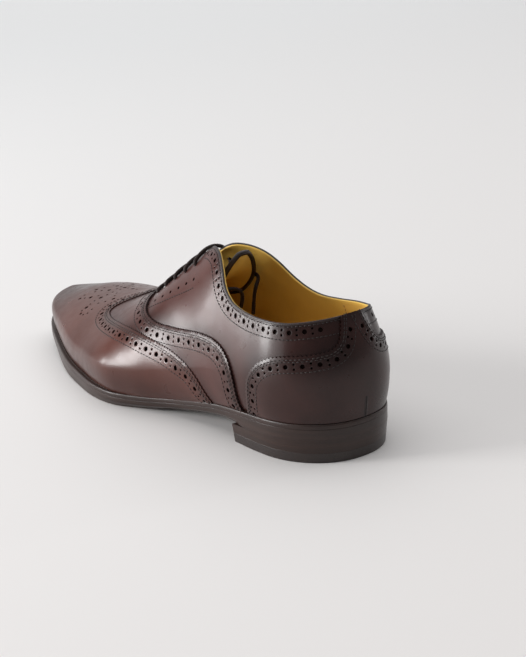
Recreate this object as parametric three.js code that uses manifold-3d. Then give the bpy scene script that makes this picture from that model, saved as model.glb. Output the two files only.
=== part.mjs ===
// A left oxford shoe with a wing cap, in millimetres: toe to +Y, big toe side to +X, floor at z = 0,
// origin on the floor under the heel's centre.
import * as THREE from 'three';
import { mergeVertices } from 'three/addons/utils/BufferGeometryUtils.js';
import Module from 'manifold-3d';

// Driving sizes
const LAST_LENGTH = 290;
const BALL_WIDTH = 90;
const HEEL_BACK_Y = -34;
const UPPER_WALL = 2;
const OVERLAY_GAP = 0.35;
const VAMP_THICKNESS = 1;
const WING_CAP_THICKNESS = 1.7;
const COUNTER_THICKNESS = 1;
const SEAM_GAP = 0.4;
const LAYER_GAP = 0.3;
const WELT_THICKNESS = 2.7;
const OUTSOLE_THICKNESS = 5.3;
const OUTSOLE_BEVEL = 0.8;
const HEEL_LIFT = 13;
const TOE_SPRING = 9.4;
const INSOLE_ABOVE_FEATHER = 1.8;
const INSOLE_BELOW_FEATHER = 2.7;
const INSOLE_SIDE_GAP = 0.7;
const INSOLE_EDGE_ROUNDING = 0.5;
const WELT_INNER_OVERLAP = 0.3;
const WELT_EDGE_ROUNDING = 0.7;
const HEEL_BREAST_Y = 28;
const HEEL_BREAST_HOLLOW = 2.5;
const HEEL_SEAT_INSET = 0.2;
const HEEL_TAPER = 1.2;
const TOP_PIECE_THICKNESS = 5.5;
const TOP_PIECE_EDGE_ROUNDING = 0.5;
const LACE_DIAMETER = 2.2;
const LACE_CLEARANCE = 0.4;
const EYELET_DIAMETER = 3.6;
const TONGUE_THICKNESS = 1.6;
const TONGUE_HEAD_BACK = 7.5;
const TONGUE_HEAD_DROP = 11;
const TONGUE_HEAD_SHIFT = 3;

// Shape of the last
const HEEL_CAP_SHARE = 0.13;
const HEEL_CAP_POWER = 2.2;
const TOE_CAP_SHARE = 0.30;
const TOE_CAP_POWER = 2.3;
const TIP_RISE = 10;
const TIP_ROLL_SHARE = 0.12;
const TIP_BULGE = 2.5;
const TIP_BULGE_START = 0.75;
const WIDEST_V = 0.25;
const FEATHER_FLARE = 0.45;
const FEATHER_TURN = 0.12;
const WIDEST_TURN = 0.5;
const HEEL_CURVE_SHARE = 0.28;

// Half widths at the feather line, as shares of BALL_WIDTH
const PLAN = {
  columns: ['station', 'lateral', 'medial'],
  rows: [
    [0.00, 0.362, 0.362],
    [0.15, 0.365, 0.360],
    [0.29, 0.335, 0.320],
    [0.40, 0.352, 0.290],
    [0.48, 0.430, 0.320],
    [0.54, 0.484, 0.375],
    [0.60, 0.488, 0.432],
    [0.68, 0.462, 0.470],
    [0.78, 0.424, 0.455],
    [0.88, 0.385, 0.415],
    [1.00, 0.370, 0.390],
  ],
};

// Centre line of the plan, as shares of BALL_WIDTH towards the big toe side
const SWING = {
  columns: ['station', 'shift'],
  rows: [
    [0.00, 0.020],
    [0.20, -0.013],
    [0.42, -0.033],
    [0.55, -0.022],
    [0.70, 0.039],
    [0.85, 0.106],
    [1.00, 0.144],
  ],
};

// Rise of the feather line over the flat forefoot, as shares of HEEL_LIFT and TOE_SPRING
const LIFT = {
  columns: ['station', 'heel', 'toe'],
  rows: [
    [0.00, 1.000, 0.000],
    [0.10, 0.969, 0.000],
    [0.20, 0.862, 0.000],
    [0.29, 0.629, 0.000],
    [0.38, 0.277, 0.000],
    [0.46, 0.060, 0.000],
    [0.53, 0.000, 0.000],
    [0.66, 0.000, 0.000],
    [0.75, 0.000, 0.096],
    [0.85, 0.000, 0.383],
    [0.93, 0.000, 0.679],
    [1.00, 0.000, 1.000],
  ],
};

// Heights and bulges of each section, as shares of LAST_LENGTH
const SIDE = {
  columns: ['station', 'bulgeLateral', 'bulgeMedial', 'widest', 'spine', 'spineShift'],
  rows: [
    [0.00, 0.0103, 0.0103, 0.069, 0.421, 0.0000],
    [0.10, 0.0121, 0.0103, 0.069, 0.421, 0.0000],
    [0.20, 0.0128, 0.0086, 0.069, 0.407, 0.0000],
    [0.29, 0.0138, 0.0138, 0.069, 0.376, 0.0000],
    [0.38, 0.0172, 0.0241, 0.062, 0.3155, 0.0034],
    [0.46, 0.0190, 0.0241, 0.056, 0.2620, 0.0069],
    [0.53, 0.0160, 0.0190, 0.050, 0.2130, 0.0100],
    [0.60, 0.0130, 0.0155, 0.045, 0.1790, 0.0120],
    [0.66, 0.0110, 0.0130, 0.041, 0.1600, 0.0138],
    [0.75, 0.0095, 0.0103, 0.038, 0.1440, 0.0138],
    [0.85, 0.0070, 0.0076, 0.034, 0.1300, 0.0103],
    [0.93, 0.0062, 0.0062, 0.031, 0.1140, 0.0069],
    [1.00, 0.0052, 0.0052, 0.028, 0.1030, 0.0034],
  ],
};

// Fullness of the curve from the widest line up to the spine
const FULLNESS = {
  columns: ['station', 'upright', 'level'],
  rows: [
    [0.00, 0.20, 0.42],
    [0.16, 0.18, 0.43],
    [0.24, 0.09, 0.52],
    [0.32, 0.02, 0.60],
    [0.42, 0.08, 0.58],
    [0.55, 0.22, 0.52],
    [0.68, 0.36, 0.50],
    [0.80, 0.48, 0.52],
    [0.93, 0.50, 0.55],
    [1.00, 0.50, 0.55],
  ],
};

// How far the back of the heel leans in, by height over the feather, as shares of LAST_LENGTH
const HEEL_CURVE = {
  columns: ['height', 'shift'],
  rows: [
    [0.000, 0.0000],
    [0.034, -0.0045],
    [0.076, -0.0055],
    [0.124, 0.0028],
    [0.172, 0.0207],
    [0.224, 0.0431],
    [0.293, 0.0690],
    [0.380, 0.0966],
  ],
};

// Upper edge: topline from the back seam, the facing's top corner, then the facing's front edge
const TOP_EDGE = {
  columns: ['station', 'lateral', 'medial'],
  rows: [
    [0.000, 0.530, 0.530],
    [0.037, 0.520, 0.516],
    [0.066, 0.513, 0.502],
    [0.111, 0.514, 0.496],
    [0.154, 0.525, 0.500],
    [0.194, 0.551, 0.520],
    [0.232, 0.593, 0.567],
    [0.259, 0.648, 0.622],
    [0.280, 0.722, 0.682],
    [0.300, 0.786, 0.738],
    [0.320, 0.836, 0.790],
    [0.342, 0.884, 0.850],
    [0.364, 0.922, 0.912],
    [0.380, 0.938, 0.936],
    [0.395, 0.940, 0.940],
    [0.420, 0.940, 0.940],
    [1.000, 0.940, 0.940],
  ],
};

// Edges of the overlays, from the feather (0) to the spine (1)
const COUNTER_EDGE = {
  columns: ['v', 'station'],
  rows: [
    [0.000, 0.1640],
    [0.167, 0.1540],
    [0.260, 0.1480],
    [0.325, 0.1340],
    [0.370, 0.1100],
    [0.396, 0.0710],
    [0.404, 0.0400],
    [0.414, 0.0177],
    [0.434, 0.0080],
    [0.470, 0.0043],
    [0.530, 0.0022],
    [1.000, 0.0022],
  ],
};
const VAMP_EDGE = {
  columns: ['v', 'station'],
  rows: [
    [0.000, 0.1835],
    [0.090, 0.1874],
    [0.223, 0.1915],
    [0.340, 0.2061],
    [0.417, 0.2365],
    [0.460, 0.2730],
    [0.503, 0.3257],
    [0.540, 0.3858],
    [0.573, 0.4300],
    [0.620, 0.4630],
    [0.700, 0.4970],
    [0.763, 0.5130],
    [0.820, 0.5270],
    [0.880, 0.5480],
    [0.940, 0.5700],
    [1.000, 0.5780],
  ],
};
const WING_EDGE = {
  columns: ['v', 'station'],
  rows: [
    [0.000, 0.2720],
    [0.063, 0.2777],
    [0.200, 0.3014],
    [0.320, 0.3306],
    [0.413, 0.3706],
    [0.463, 0.4089],
    [0.520, 0.4556],
    [0.560, 0.4900],
    [0.627, 0.5650],
    [0.662, 0.6270],
    [0.700, 0.6700],
    [0.740, 0.6810],
    [0.800, 0.6700],
    [0.870, 0.6500],
    [0.940, 0.6280],
    [1.000, 0.6110],
  ],
};

// Sole edge beyond the feather line, as shares of BALL_WIDTH
const SOLE_MARGIN = {
  columns: ['station', 'lateral', 'medial'],
  rows: [
    [0.00, 0.022, 0.022],
    [0.15, 0.022, 0.022],
    [0.30, 0.022, 0.017],
    [0.45, 0.028, 0.017],
    [0.60, 0.056, 0.039],
    [0.70, 0.061, 0.050],
    [0.90, 0.056, 0.056],
    [1.00, 0.056, 0.056],
  ],
};

// How far the lower edge of the outsole is cut in, as shares of BALL_WIDTH: the bevelled waist
const WAIST_BEVEL = {
  columns: ['station', 'share'],
  rows: [
    [0.00, 0.006],
    [0.18, 0.006],
    [0.26, 0.045],
    [0.36, 0.062],
    [0.46, 0.040],
    [0.56, 0.012],
    [1.00, 0.009],
  ],
};

const WASM = await Module();
WASM.setup();

function clamp(value, low, high) {
  return Math.min(high, Math.max(low, value));
}

/** Cubic interpolation of every column of a table at x. */
function lookUp(table, x) {
  const rows = table.rows;
  const last = rows.length - 1;
  const at = clamp(x, rows[0][0], rows[last][0]);
  let i = 0;
  while (i < last - 1 && at > rows[i + 1][0]) i += 1;
  const span = rows[i + 1][0] - rows[i][0];
  const t = (at - rows[i][0]) / span;
  const result = {};
  for (let k = 1; k < table.columns.length; k += 1) {
    const slope = (j) => (rows[j + 1][k] - rows[j][k]) / (rows[j + 1][0] - rows[j][0]);
    const tangent = (j) => {
      if (j === 0) return slope(0);
      if (j === last) return slope(last - 1);
      const before = rows[j][0] - rows[j - 1][0];
      const after = rows[j + 1][0] - rows[j][0];
      return (slope(j - 1) * after + slope(j) * before) / (before + after);
    };
    const p0 = rows[i][k];
    const p1 = rows[i + 1][k];
    const m0 = tangent(i) * span;
    const m1 = tangent(i + 1) * span;
    result[table.columns[k]] = (1 + 2 * t) * (1 - t) ** 2 * p0 + t * (1 - t) ** 2 * m0
      + t * t * (3 - 2 * t) * p1 + t * t * (t - 1) * m1;
  }
  return result;
}

function bezier(a, b, c, d, t) {
  return (1 - t) ** 3 * a + 3 * (1 - t) ** 2 * t * b + 3 * (1 - t) * t * t * c + t ** 3 * d;
}

/** Station along the last (0 heel, 1 toe) from the turn around it, and back. */
function stationOf(turn) {
  return (1 - Math.cos(Math.PI * Math.abs(turn))) / 2;
}
function turnOf(station) {
  return Math.acos(1 - 2 * clamp(station, 0, 1)) / Math.PI;
}

/** Height of the feather line: the sole's layers and the lift of heel or toe. */
const SOLE_BUILD = LAYER_GAP + WELT_THICKNESS + LAYER_GAP + OUTSOLE_THICKNESS;
function featherAt(station) {
  const lift = lookUp(LIFT, station);
  return SOLE_BUILD + Math.max(0, lift.heel) * HEEL_LIFT + Math.max(0, lift.toe) * TOE_SPRING;
}

/** Narrowing of a section towards the rounded heel and toe. */
function endNarrowing(station) {
  const heel = clamp((HEEL_CAP_SHARE - station) / HEEL_CAP_SHARE, 0, 1);
  const toe = clamp((station - (1 - TOE_CAP_SHARE)) / TOE_CAP_SHARE, 0, 1);
  return (1 - heel ** HEEL_CAP_POWER) ** (1 / HEEL_CAP_POWER)
    * (1 - toe ** TOE_CAP_POWER) ** (1 / TOE_CAP_POWER);
}

/** Point of the last: turn runs from -1 (toe) over the lateral side, 0 (heel back) and the medial side to 1. */
function lastPoint(turn, v) {
  if (v > 1) return lastPoint(-turn, 2 - v);
  if (turn > 1) return lastPoint(turn - 2, v);
  if (turn < -1) return lastPoint(turn + 2, v);
  const side = turn < 0 ? -1 : 1;
  const s = stationOf(turn);
  const plan = lookUp(PLAN, s);
  const section = lookUp(SIDE, s);
  const fullness = lookUp(FULLNESS, s);
  const half = (side < 0 ? plan.lateral : plan.medial) * BALL_WIDTH;
  const bulge = (side < 0 ? section.bulgeLateral : section.bulgeMedial) * LAST_LENGTH;
  const feather = featherAt(s);
  const widest = section.widest * LAST_LENGTH;
  const spineX = section.spineShift * LAST_LENGTH * side;
  const roll = clamp((s - (1 - TIP_ROLL_SHARE)) / TIP_ROLL_SHARE, 0, 1);
  const tip = feather + TIP_RISE;
  const spine = tip + (section.spine * LAST_LENGTH - tip) * Math.sqrt(1 - roll * roll);
  const low = clamp(v / WIDEST_V, 0, 1);
  const high = clamp((v - WIDEST_V) / (1 - WIDEST_V), 0, 1);
  const outer = half + bulge;
  const middle = feather + widest;
  let x;
  let z;
  if (v < WIDEST_V) {
    x = bezier(half, half + FEATHER_FLARE * bulge, outer, outer, low);
    z = bezier(feather, feather + FEATHER_TURN * widest, feather + WIDEST_TURN * widest, middle, low);
  } else {
    x = bezier(outer, outer, spineX + fullness.level * (outer - spineX), spineX, high);
    z = bezier(middle, middle + fullness.upright * (spine - middle), spine, spine, high);
  }
  x = spineX + (x - spineX) * endNarrowing(s);
  const backShare = clamp(1 - s / HEEL_CURVE_SHARE, 0, 1) ** 2;
  const lean = lookUp(HEEL_CURVE, (z - feather) / LAST_LENGTH).shift * LAST_LENGTH * backShare;
  const tipShare = clamp((s - TIP_BULGE_START) / (1 - TIP_BULGE_START), 0, 1) ** 2;
  const y = HEEL_BACK_Y + s * LAST_LENGTH + lean + TIP_BULGE * Math.sin(Math.PI / 2 * low) * tipShare;
  return new THREE.Vector3(side * x + lookUp(SWING, s).shift * BALL_WIDTH, y, z);
}

/** Outward normal of the last; level along the feather line. */
function lastNormal(turn, v) {
  const step = 0.002;
  const along = lastPoint(turn + step, v).sub(lastPoint(turn - step, v));
  const lower = Math.max(0, v - step);
  const up = lastPoint(turn, v + step).sub(lastPoint(turn, lower));
  const normal = v <= 0 ? new THREE.Vector3(along.y, -along.x, 0) : along.cross(up);
  return normal.normalize();
}

/** Point at a distance outside (or, if negative, inside) the last. */
function offLast(turn, v, distance) {
  return lastPoint(turn, v).addScaledVector(lastNormal(turn, v), distance);
}

/** Collects shared vertices and triangles of one closed body. */
class Body {
  constructor() {
    this.points = [];
    this.faces = [];
  }

  add(point) {
    this.points.push(point);
    return this.points.length - 1;
  }

  triangle(a, b, c) {
    if (a !== b && b !== c && a !== c) this.faces.push([a, b, c]);
  }

  quad(a, b, c, d) {
    this.triangle(a, b, c);
    this.triangle(a, c, d);
  }

  geometry() {
    const geometry = new THREE.BufferGeometry();
    const positions = this.points.flatMap((p) => [p.x, p.y, p.z]);
    geometry.setAttribute('position', new THREE.Float32BufferAttribute(positions, 3));
    geometry.setIndex(this.faces.flat());
    return geometry;
  }

  solid() {
    const mesh = new WASM.Mesh({
      numProp: 3,
      vertProperties: Float32Array.from(this.points.flatMap((p) => [p.x, p.y, p.z])),
      triVerts: Uint32Array.from(this.faces.flat()),
    });
    return new WASM.Manifold(mesh);
  }
}

/** A three.js geometry with only positions, its shared corners joined. */
function joined(geometry) {
  geometry.deleteAttribute('normal');
  geometry.deleteAttribute('uv');
  return mergeVertices(geometry);
}

function solidOf(geometry) {
  const closed = joined(geometry);
  return new WASM.Manifold(new WASM.Mesh({
    numProp: 3,
    vertProperties: Float32Array.from(closed.attributes.position.array),
    triVerts: Uint32Array.from(closed.index.array),
  }));
}

function geometryOf(solid) {
  const mesh = solid.getMesh();
  const geometry = new THREE.BufferGeometry();
  geometry.setAttribute('position', new THREE.Float32BufferAttribute(mesh.vertProperties, 3));
  geometry.setIndex(Array.from(mesh.triVerts));
  return geometry;
}

// Columns of the common net from the heel's back to the toe, on each side, and its rows up the wall
const THROAT_FRONT = 0.575;
const FACING_TOP = 0.345;
const QUARTER_COLUMNS = 12;
const FACING_COLUMNS = 7;
const FOREPART_COLUMNS = 14;
const FIRST_CLOSED_COLUMN = QUARTER_COLUMNS + FACING_COLUMNS;
const SIDE_COLUMNS = FIRST_CLOSED_COLUMN + FOREPART_COLUMNS;
const ROW_SHARES = [0, 0.08, 0.18, 0.28, 0.38, 0.48, 0.58, 0.68, 0.77, 0.86, 0.93, 1];
const WALL_ROWS = ROW_SHARES.length - 1;

function columnTurn(column) {
  const marks = [0, turnOf(FACING_TOP), turnOf(THROAT_FRONT), 1];
  if (column <= QUARTER_COLUMNS) return marks[1] * (column / QUARTER_COLUMNS);
  if (column <= FIRST_CLOSED_COLUMN) {
    return marks[1] + (marks[2] - marks[1]) * ((column - QUARTER_COLUMNS) / FACING_COLUMNS);
  }
  return marks[2] + (1 - marks[2]) * ((column - FIRST_CLOSED_COLUMN) / FOREPART_COLUMNS);
}

/** A crossing of the net. The back seam, the toe and the spine are shared by both sides (-1 lateral, 1 medial). */
function crossing(column, row, side) {
  const turn = columnTurn(column);
  const edge = lookUp(TOP_EDGE, stationOf(turn));
  const height = side < 0 ? edge.lateral : edge.medial;
  const v = row > WALL_ROWS ? 1 : ROW_SHARES[row] * height;
  const shared = column === 0 || column === SIDE_COLUMNS || row > WALL_ROWS;
  return { key: `${shared ? 0 : side} ${column} ${row}`, side, turn: side * turn, v };
}

const NET_TRIANGLES = [];
for (const side of [-1, 1]) {
  for (let column = 0; column < SIDE_COLUMNS; column += 1) {
    const rows = column >= FIRST_CLOSED_COLUMN ? WALL_ROWS + 1 : WALL_ROWS;
    for (let row = 0; row < rows; row += 1) {
      const corners = [
        crossing(column, row, side),
        crossing(column + 1, row, side),
        crossing(column + 1, row + 1, side),
        crossing(column, row + 1, side),
      ];
      if (side < 0) corners.reverse();
      for (const [i, j, k] of [[0, 1, 2], [0, 2, 3]]) {
        const triangle = [corners[i], corners[j], corners[k]];
        if (new Set(triangle.map((corner) => corner.key)).size === 3) NET_TRIANGLES.push(triangle);
      }
    }
  }
}

/** Distance in millimetres from a seam, towards the toe, at a turn and height. */
const HEIGHT_OF_WALL = 85;
function seamDistance(table, turn, v) {
  const step = 0.01;
  const edge = lookUp(table, v).station;
  const slope = (lookUp(table, v + step).station - lookUp(table, v - step).station) / (2 * step);
  return (stationOf(turn) - edge) / Math.hypot(1 / LAST_LENGTH, slope / HEIGHT_OF_WALL);
}

/** Cuts a polygon of the net where a field falls below zero; neighbours find the same cut points. */
function cutPolygon(polygon, field, name) {
  const result = [];
  polygon.forEach((corner, i) => {
    const next = polygon[(i + 1) % polygon.length];
    const here = field(corner.turn, corner.v);
    const there = field(next.turn, next.v);
    if (here >= 0) result.push(corner);
    if ((here >= 0) === (there >= 0)) return;
    const [from, to] = corner.key < next.key ? [corner, next] : [next, corner];
    let low = 0;
    let high = 1;
    const startsInside = field(from.turn, from.v) >= 0;
    for (let pass = 0; pass < 30; pass += 1) {
      const middle = (low + high) / 2;
      const turn = from.turn + (to.turn - from.turn) * middle;
      const inside = field(turn, from.v + (to.v - from.v) * middle) >= 0;
      if (inside === startsInside) low = middle;
      else high = middle;
    }
    const share = clamp(low, 0.04, 0.96);
    result.push({
      key: `${from.key}|${to.key}|${name}`,
      turn: from.turn + (to.turn - from.turn) * share,
      v: from.v + (to.v - from.v) * share,
      inner: from.inner.clone().lerp(to.inner, share),
      outer: from.outer.clone().lerp(to.outer, share),
    });
  });
  return result;
}

/** A closed shell between two distances from the last, where every field is above zero. */
function shell(inner, outer, fields = []) {
  const body = new Body();
  const corners = new Map();
  const vertices = new Map();
  const edges = new Map();
  const withPoints = (corner) => {
    if (!corners.has(corner.key)) {
      corners.set(corner.key, {
        inner: offLast(corner.turn, corner.v, inner),
        outer: offLast(corner.turn, corner.v, outer),
      });
    }
    return { ...corner, ...corners.get(corner.key) };
  };
  const vertex = (corner) => {
    if (!vertices.has(corner.key)) {
      vertices.set(corner.key, [body.add(corner.inner), body.add(corner.outer)]);
    }
    return vertices.get(corner.key);
  };
  for (const triangle of NET_TRIANGLES) {
    let polygon = triangle.map(withPoints);
    fields.forEach((field, i) => {
      if (polygon.length) polygon = cutPolygon(polygon, field, i);
    });
    if (polygon.length < 3) continue;
    const ids = polygon.map(vertex);
    for (let i = 1; i + 1 < ids.length; i += 1) {
      body.triangle(ids[0][1], ids[i][1], ids[i + 1][1]);
      body.triangle(ids[i + 1][0], ids[i][0], ids[0][0]);
    }
    ids.forEach((from, i) => {
      const to = ids[(i + 1) % ids.length];
      const back = `${to[1]} ${from[1]}`;
      if (edges.has(back)) edges.delete(back);
      else edges.set(`${from[1]} ${to[1]}`, [from, to]);
    });
  }
  for (const [from, to] of edges.values()) {
    body.quad(to[1], from[1], from[0], to[0]);
  }
  return body;
}

/** Point of the sole's outline, outside the feather line by the margin and an extra distance. */
function soleEdge(turn, extra, z) {
  const s = stationOf(turn);
  const margin = lookUp(SOLE_MARGIN, s);
  const distance = (turn < 0 ? margin.lateral : margin.medial) * BALL_WIDTH + extra;
  const point = offLast(turn, 0, distance);
  point.z = z;
  return point;
}
function featherHeight(turn) {
  return featherAt(stationOf(turn));
}

const SOLE_STEPS = 34;
function soleTurns() {
  const turns = [];
  for (let i = 0; i < 2 * SOLE_STEPS; i += 1) {
    turns.push(-1 + (i + 1) / SOLE_STEPS);
  }
  return turns;
}

/** A closed body from rings around the sole, one above the other; caps are strips between the two sides. */
function stackRings(rings) {
  const body = new Body();
  const ids = rings.map((ring) => ring.map((point) => body.add(point)));
  const count = rings[0].length;
  for (let level = 0; level + 1 < rings.length; level += 1) {
    for (let i = 0; i < count; i += 1) {
      const next = (i + 1) % count;
      body.quad(ids[level][i], ids[level][next], ids[level + 1][next], ids[level + 1][i]);
    }
  }
  const heel = count / 2 - 1;
  const toe = count - 1;
  const cap = (ring, turned) => {
    const face = (a, b, c) => (turned ? body.triangle(c, b, a) : body.triangle(a, b, c));
    for (let i = 0; i < heel; i += 1) {
      const mirror = toe - 1 - i;
      face(ring[i], ring[i + 1], ring[mirror - 1]);
      face(ring[i], ring[mirror - 1], ring[mirror]);
    }
    face(ring[toe], ring[0], ring[toe - 1]);
  };
  cap(ids[rings.length - 1], false);
  cap(ids[0], true);
  return body;
}

const OUTSOLE_EDGE_SHARE = 0.45;

function outsole() {
  const turns = soleTurns();
  const bottom = (turn) => featherHeight(turn) - SOLE_BUILD;
  const top = (turn) => bottom(turn) + OUTSOLE_THICKNESS;
  const bevel = (turn) => lookUp(WAIST_BEVEL, stationOf(turn)).share * BALL_WIDTH;
  return stackRings([
    turns.map((turn) => soleEdge(turn, -bevel(turn) - OUTSOLE_BEVEL, bottom(turn))),
    turns.map((turn) => soleEdge(turn, -bevel(turn), bottom(turn) + OUTSOLE_BEVEL)),
    turns.map((turn) => soleEdge(turn, 0, top(turn) - OUTSOLE_EDGE_SHARE * OUTSOLE_THICKNESS)),
    turns.map((turn) => soleEdge(turn, 0, top(turn))),
  ]);
}

function insole() {
  const inset = UPPER_WALL + INSOLE_SIDE_GAP;
  const ring = (extra, lift) => soleTurns().map((turn) => {
    const point = offLast(turn, 0, -inset - extra);
    point.z = featherHeight(turn) + lift;
    return point;
  });
  return stackRings([
    ring(0, -INSOLE_BELOW_FEATHER),
    ring(0, INSOLE_ABOVE_FEATHER - INSOLE_EDGE_ROUNDING),
    ring(INSOLE_EDGE_ROUNDING, INSOLE_ABOVE_FEATHER),
  ]);
}

function welt() {
  const body = new Body();
  const turns = soleTurns();
  const inner = -(UPPER_WALL + WELT_INNER_OVERLAP);
  const profile = (turn) => {
    const top = featherHeight(turn) - LAYER_GAP;
    const bottom = top - WELT_THICKNESS;
    const inside = offLast(turn, 0, inner);
    return [
      inside.clone().setZ(bottom),
      soleEdge(turn, 0, bottom),
      soleEdge(turn, 0, top - WELT_EDGE_ROUNDING),
      soleEdge(turn, -WELT_EDGE_ROUNDING, top),
      inside.clone().setZ(top),
    ];
  };
  const ids = turns.map((turn) => profile(turn).map((point) => body.add(point)));
  const sides = ids[0].length;
  for (let i = 0; i < ids.length; i += 1) {
    const next = (i + 1) % ids.length;
    for (let k = 0; k < sides; k += 1) {
      const over = (k + 1) % sides;
      body.quad(ids[i][k], ids[next][k], ids[next][over], ids[i][over]);
    }
  }
  return body;
}

const HEEL_SIDE_STEPS = 10;
const BREAST_TURNS = [0.1, 0.5];

/** Heel outline at one level: the sole's outline back from the breast, closed by a hollow breast. */
function heelRing(extra, height) {
  const back = [];
  const breastTurn = (side) => {
    let [low, high] = BREAST_TURNS;
    for (let pass = 0; pass < 40; pass += 1) {
      const middle = (low + high) / 2;
      if (soleEdge(side * middle, extra, 0).y < HEEL_BREAST_Y) low = middle;
      else high = middle;
    }
    return side * low;
  };
  for (const side of [-1, 1]) {
    const edge = breastTurn(side);
    for (let i = 0; i <= HEEL_SIDE_STEPS; i += 1) {
      const share = side < 0 ? 1 - i / HEEL_SIDE_STEPS : i / HEEL_SIDE_STEPS;
      if (side > 0 && i === 0) continue;
      const turn = edge * share;
      back.push(soleEdge(turn, extra, height(turn)));
    }
  }
  const lateral = back[0];
  const medial = back[back.length - 1];
  const breast = [];
  const breastSteps = 2 * HEEL_SIDE_STEPS;
  for (let i = 1; i < breastSteps; i += 1) {
    const share = i / breastSteps;
    const point = medial.clone().lerp(lateral, share);
    point.y -= HEEL_BREAST_HOLLOW * 4 * share * (1 - share);
    breast.push(point);
  }
  return [...back, ...breast];
}

/** A closed body of heel rings with strips from the breast to the back as caps. */
function heelBody(levels) {
  const body = new Body();
  const rings = levels.map(([extra, height]) => heelRing(extra, height));
  const ids = rings.map((ring) => ring.map((point) => body.add(point)));
  const count = rings[0].length;
  const half = count / 2;
  for (let level = 0; level + 1 < rings.length; level += 1) {
    for (let i = 0; i < count; i += 1) {
      const next = (i + 1) % count;
      body.quad(ids[level][i], ids[level][next], ids[level + 1][next], ids[level + 1][i]);
    }
  }
  const cap = (ring, up) => {
    for (let i = 0; i < half; i += 1) {
      const a = ring[i];
      const b = ring[i + 1];
      const c = ring[(count - i - 1) % count];
      const d = ring[(count - i) % count];
      if (up) body.quad(a, b, c, d);
      else body.quad(d, c, b, a);
    }
  };
  cap(ids[rings.length - 1], true);
  cap(ids[0], false);
  return body;
}

function heelSeat(turn) {
  return featherHeight(turn) - SOLE_BUILD - LAYER_GAP;
}

function heelStack() {
  const low = TOP_PIECE_THICKNESS + LAYER_GAP;
  return heelBody([
    [-HEEL_SEAT_INSET - HEEL_TAPER / 2, () => low],
    [-HEEL_SEAT_INSET, (turn) => heelSeat(turn)],
  ]);
}

function heelTopPiece() {
  const foot = -HEEL_SEAT_INSET - HEEL_TAPER;
  return heelBody([
    [foot - TOP_PIECE_EDGE_ROUNDING, () => 0],
    [foot, () => TOP_PIECE_EDGE_ROUNDING],
    [-HEEL_SEAT_INSET - HEEL_TAPER / 2, () => TOP_PIECE_THICKNESS],
  ]);
}

// Tongue, under the facings and the laces
const TONGUE_OUTER = -(UPPER_WALL + 2 * LACE_CLEARANCE + LACE_DIAMETER);
const TONGUE_INNER = TONGUE_OUTER - TONGUE_THICKNESS;
const TONGUE_FRONT = 0.615;
const TONGUE_TOP = 0.345;
const TONGUE_HALF_SPAN = 0.27;
const TONGUE_LENGTH_STEPS = 15;
const TONGUE_WIDTH_STEPS = 6;

// The tongue from its front (0) to its head (1): spacing along the last, width, and how far it falls
// back and down from the facings, as shares of the sizes above; flat is how far its arch is flattened
const TONGUE_FORM = {
  columns: ['along', 'station', 'width', 'back', 'drop', 'flat'],
  rows: [
    [0.00, 0.000, 0.75, 0.00, 0.00, 0.00],
    [0.25, 0.330, 0.88, 0.00, 0.00, 0.00],
    [0.50, 0.620, 1.00, 0.00, 0.10, 0.00],
    [0.62, 0.740, 1.00, 0.15, 0.60, 0.10],
    [0.72, 0.830, 0.98, 0.45, 0.95, 0.30],
    [0.80, 0.890, 0.90, 0.80, 1.00, 0.50],
    [0.87, 0.935, 0.78, 1.00, 0.85, 0.60],
    [0.93, 0.970, 0.62, 1.00, 0.60, 0.65],
    [0.97, 0.990, 0.44, 0.97, 0.42, 0.65],
    [1.00, 1.000, 0.24, 0.93, 0.30, 0.65],
  ],
};

/** Point of the tongue: along it from front to head, across it from -1 to 1. */
function tonguePoint(along, across, distance) {
  const form = lookUp(TONGUE_FORM, along);
  const s = TONGUE_FRONT + (TONGUE_TOP - TONGUE_FRONT) * form.station;
  const reach = Math.abs(across) * TONGUE_HALF_SPAN * form.width;
  const point = offLast((across < 0 ? -1 : 1) * turnOf(s), 1 - reach, distance);
  const crown = offLast(turnOf(s), 1, distance);
  point.z += (crown.z - point.z) * form.flat - form.drop * TONGUE_HEAD_DROP;
  point.y -= form.back * TONGUE_HEAD_BACK;
  point.x += form.back * TONGUE_HEAD_SHIFT;
  return point;
}

function tongue() {
  const body = new Body();
  const ids = [TONGUE_INNER, TONGUE_OUTER].map((distance) => {
    const rows = [];
    for (let i = 0; i <= TONGUE_LENGTH_STEPS; i += 1) {
      const row = [];
      for (let k = -TONGUE_WIDTH_STEPS; k <= TONGUE_WIDTH_STEPS; k += 1) {
        row.push(body.add(tonguePoint(i / TONGUE_LENGTH_STEPS, k / TONGUE_WIDTH_STEPS, distance)));
      }
      rows.push(row);
    }
    return rows;
  });
  const columns = 2 * TONGUE_WIDTH_STEPS;
  for (let i = 0; i < TONGUE_LENGTH_STEPS; i += 1) {
    for (let k = 0; k < columns; k += 1) {
      body.quad(ids[1][i][k], ids[1][i + 1][k], ids[1][i + 1][k + 1], ids[1][i][k + 1]);
      body.quad(ids[0][i][k], ids[0][i][k + 1], ids[0][i + 1][k + 1], ids[0][i + 1][k]);
    }
    body.quad(ids[0][i][0], ids[0][i + 1][0], ids[1][i + 1][0], ids[1][i][0]);
    body.quad(ids[1][i][columns], ids[1][i + 1][columns], ids[0][i + 1][columns], ids[0][i][columns]);
  }
  const top = TONGUE_LENGTH_STEPS;
  for (let k = 0; k < columns; k += 1) {
    body.quad(ids[0][0][k], ids[1][0][k], ids[1][0][k + 1], ids[0][0][k + 1]);
    body.quad(ids[1][top][k], ids[0][top][k], ids[0][top][k + 1], ids[1][top][k + 1]);
  }
  return body;
}

// Eyelets: five rows down the facings
const EYELET_STATIONS = [0.390, 0.422, 0.454, 0.486, 0.516];
const EYELET_V = 0.845;
const EYELET_SIDES = 8;

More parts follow.
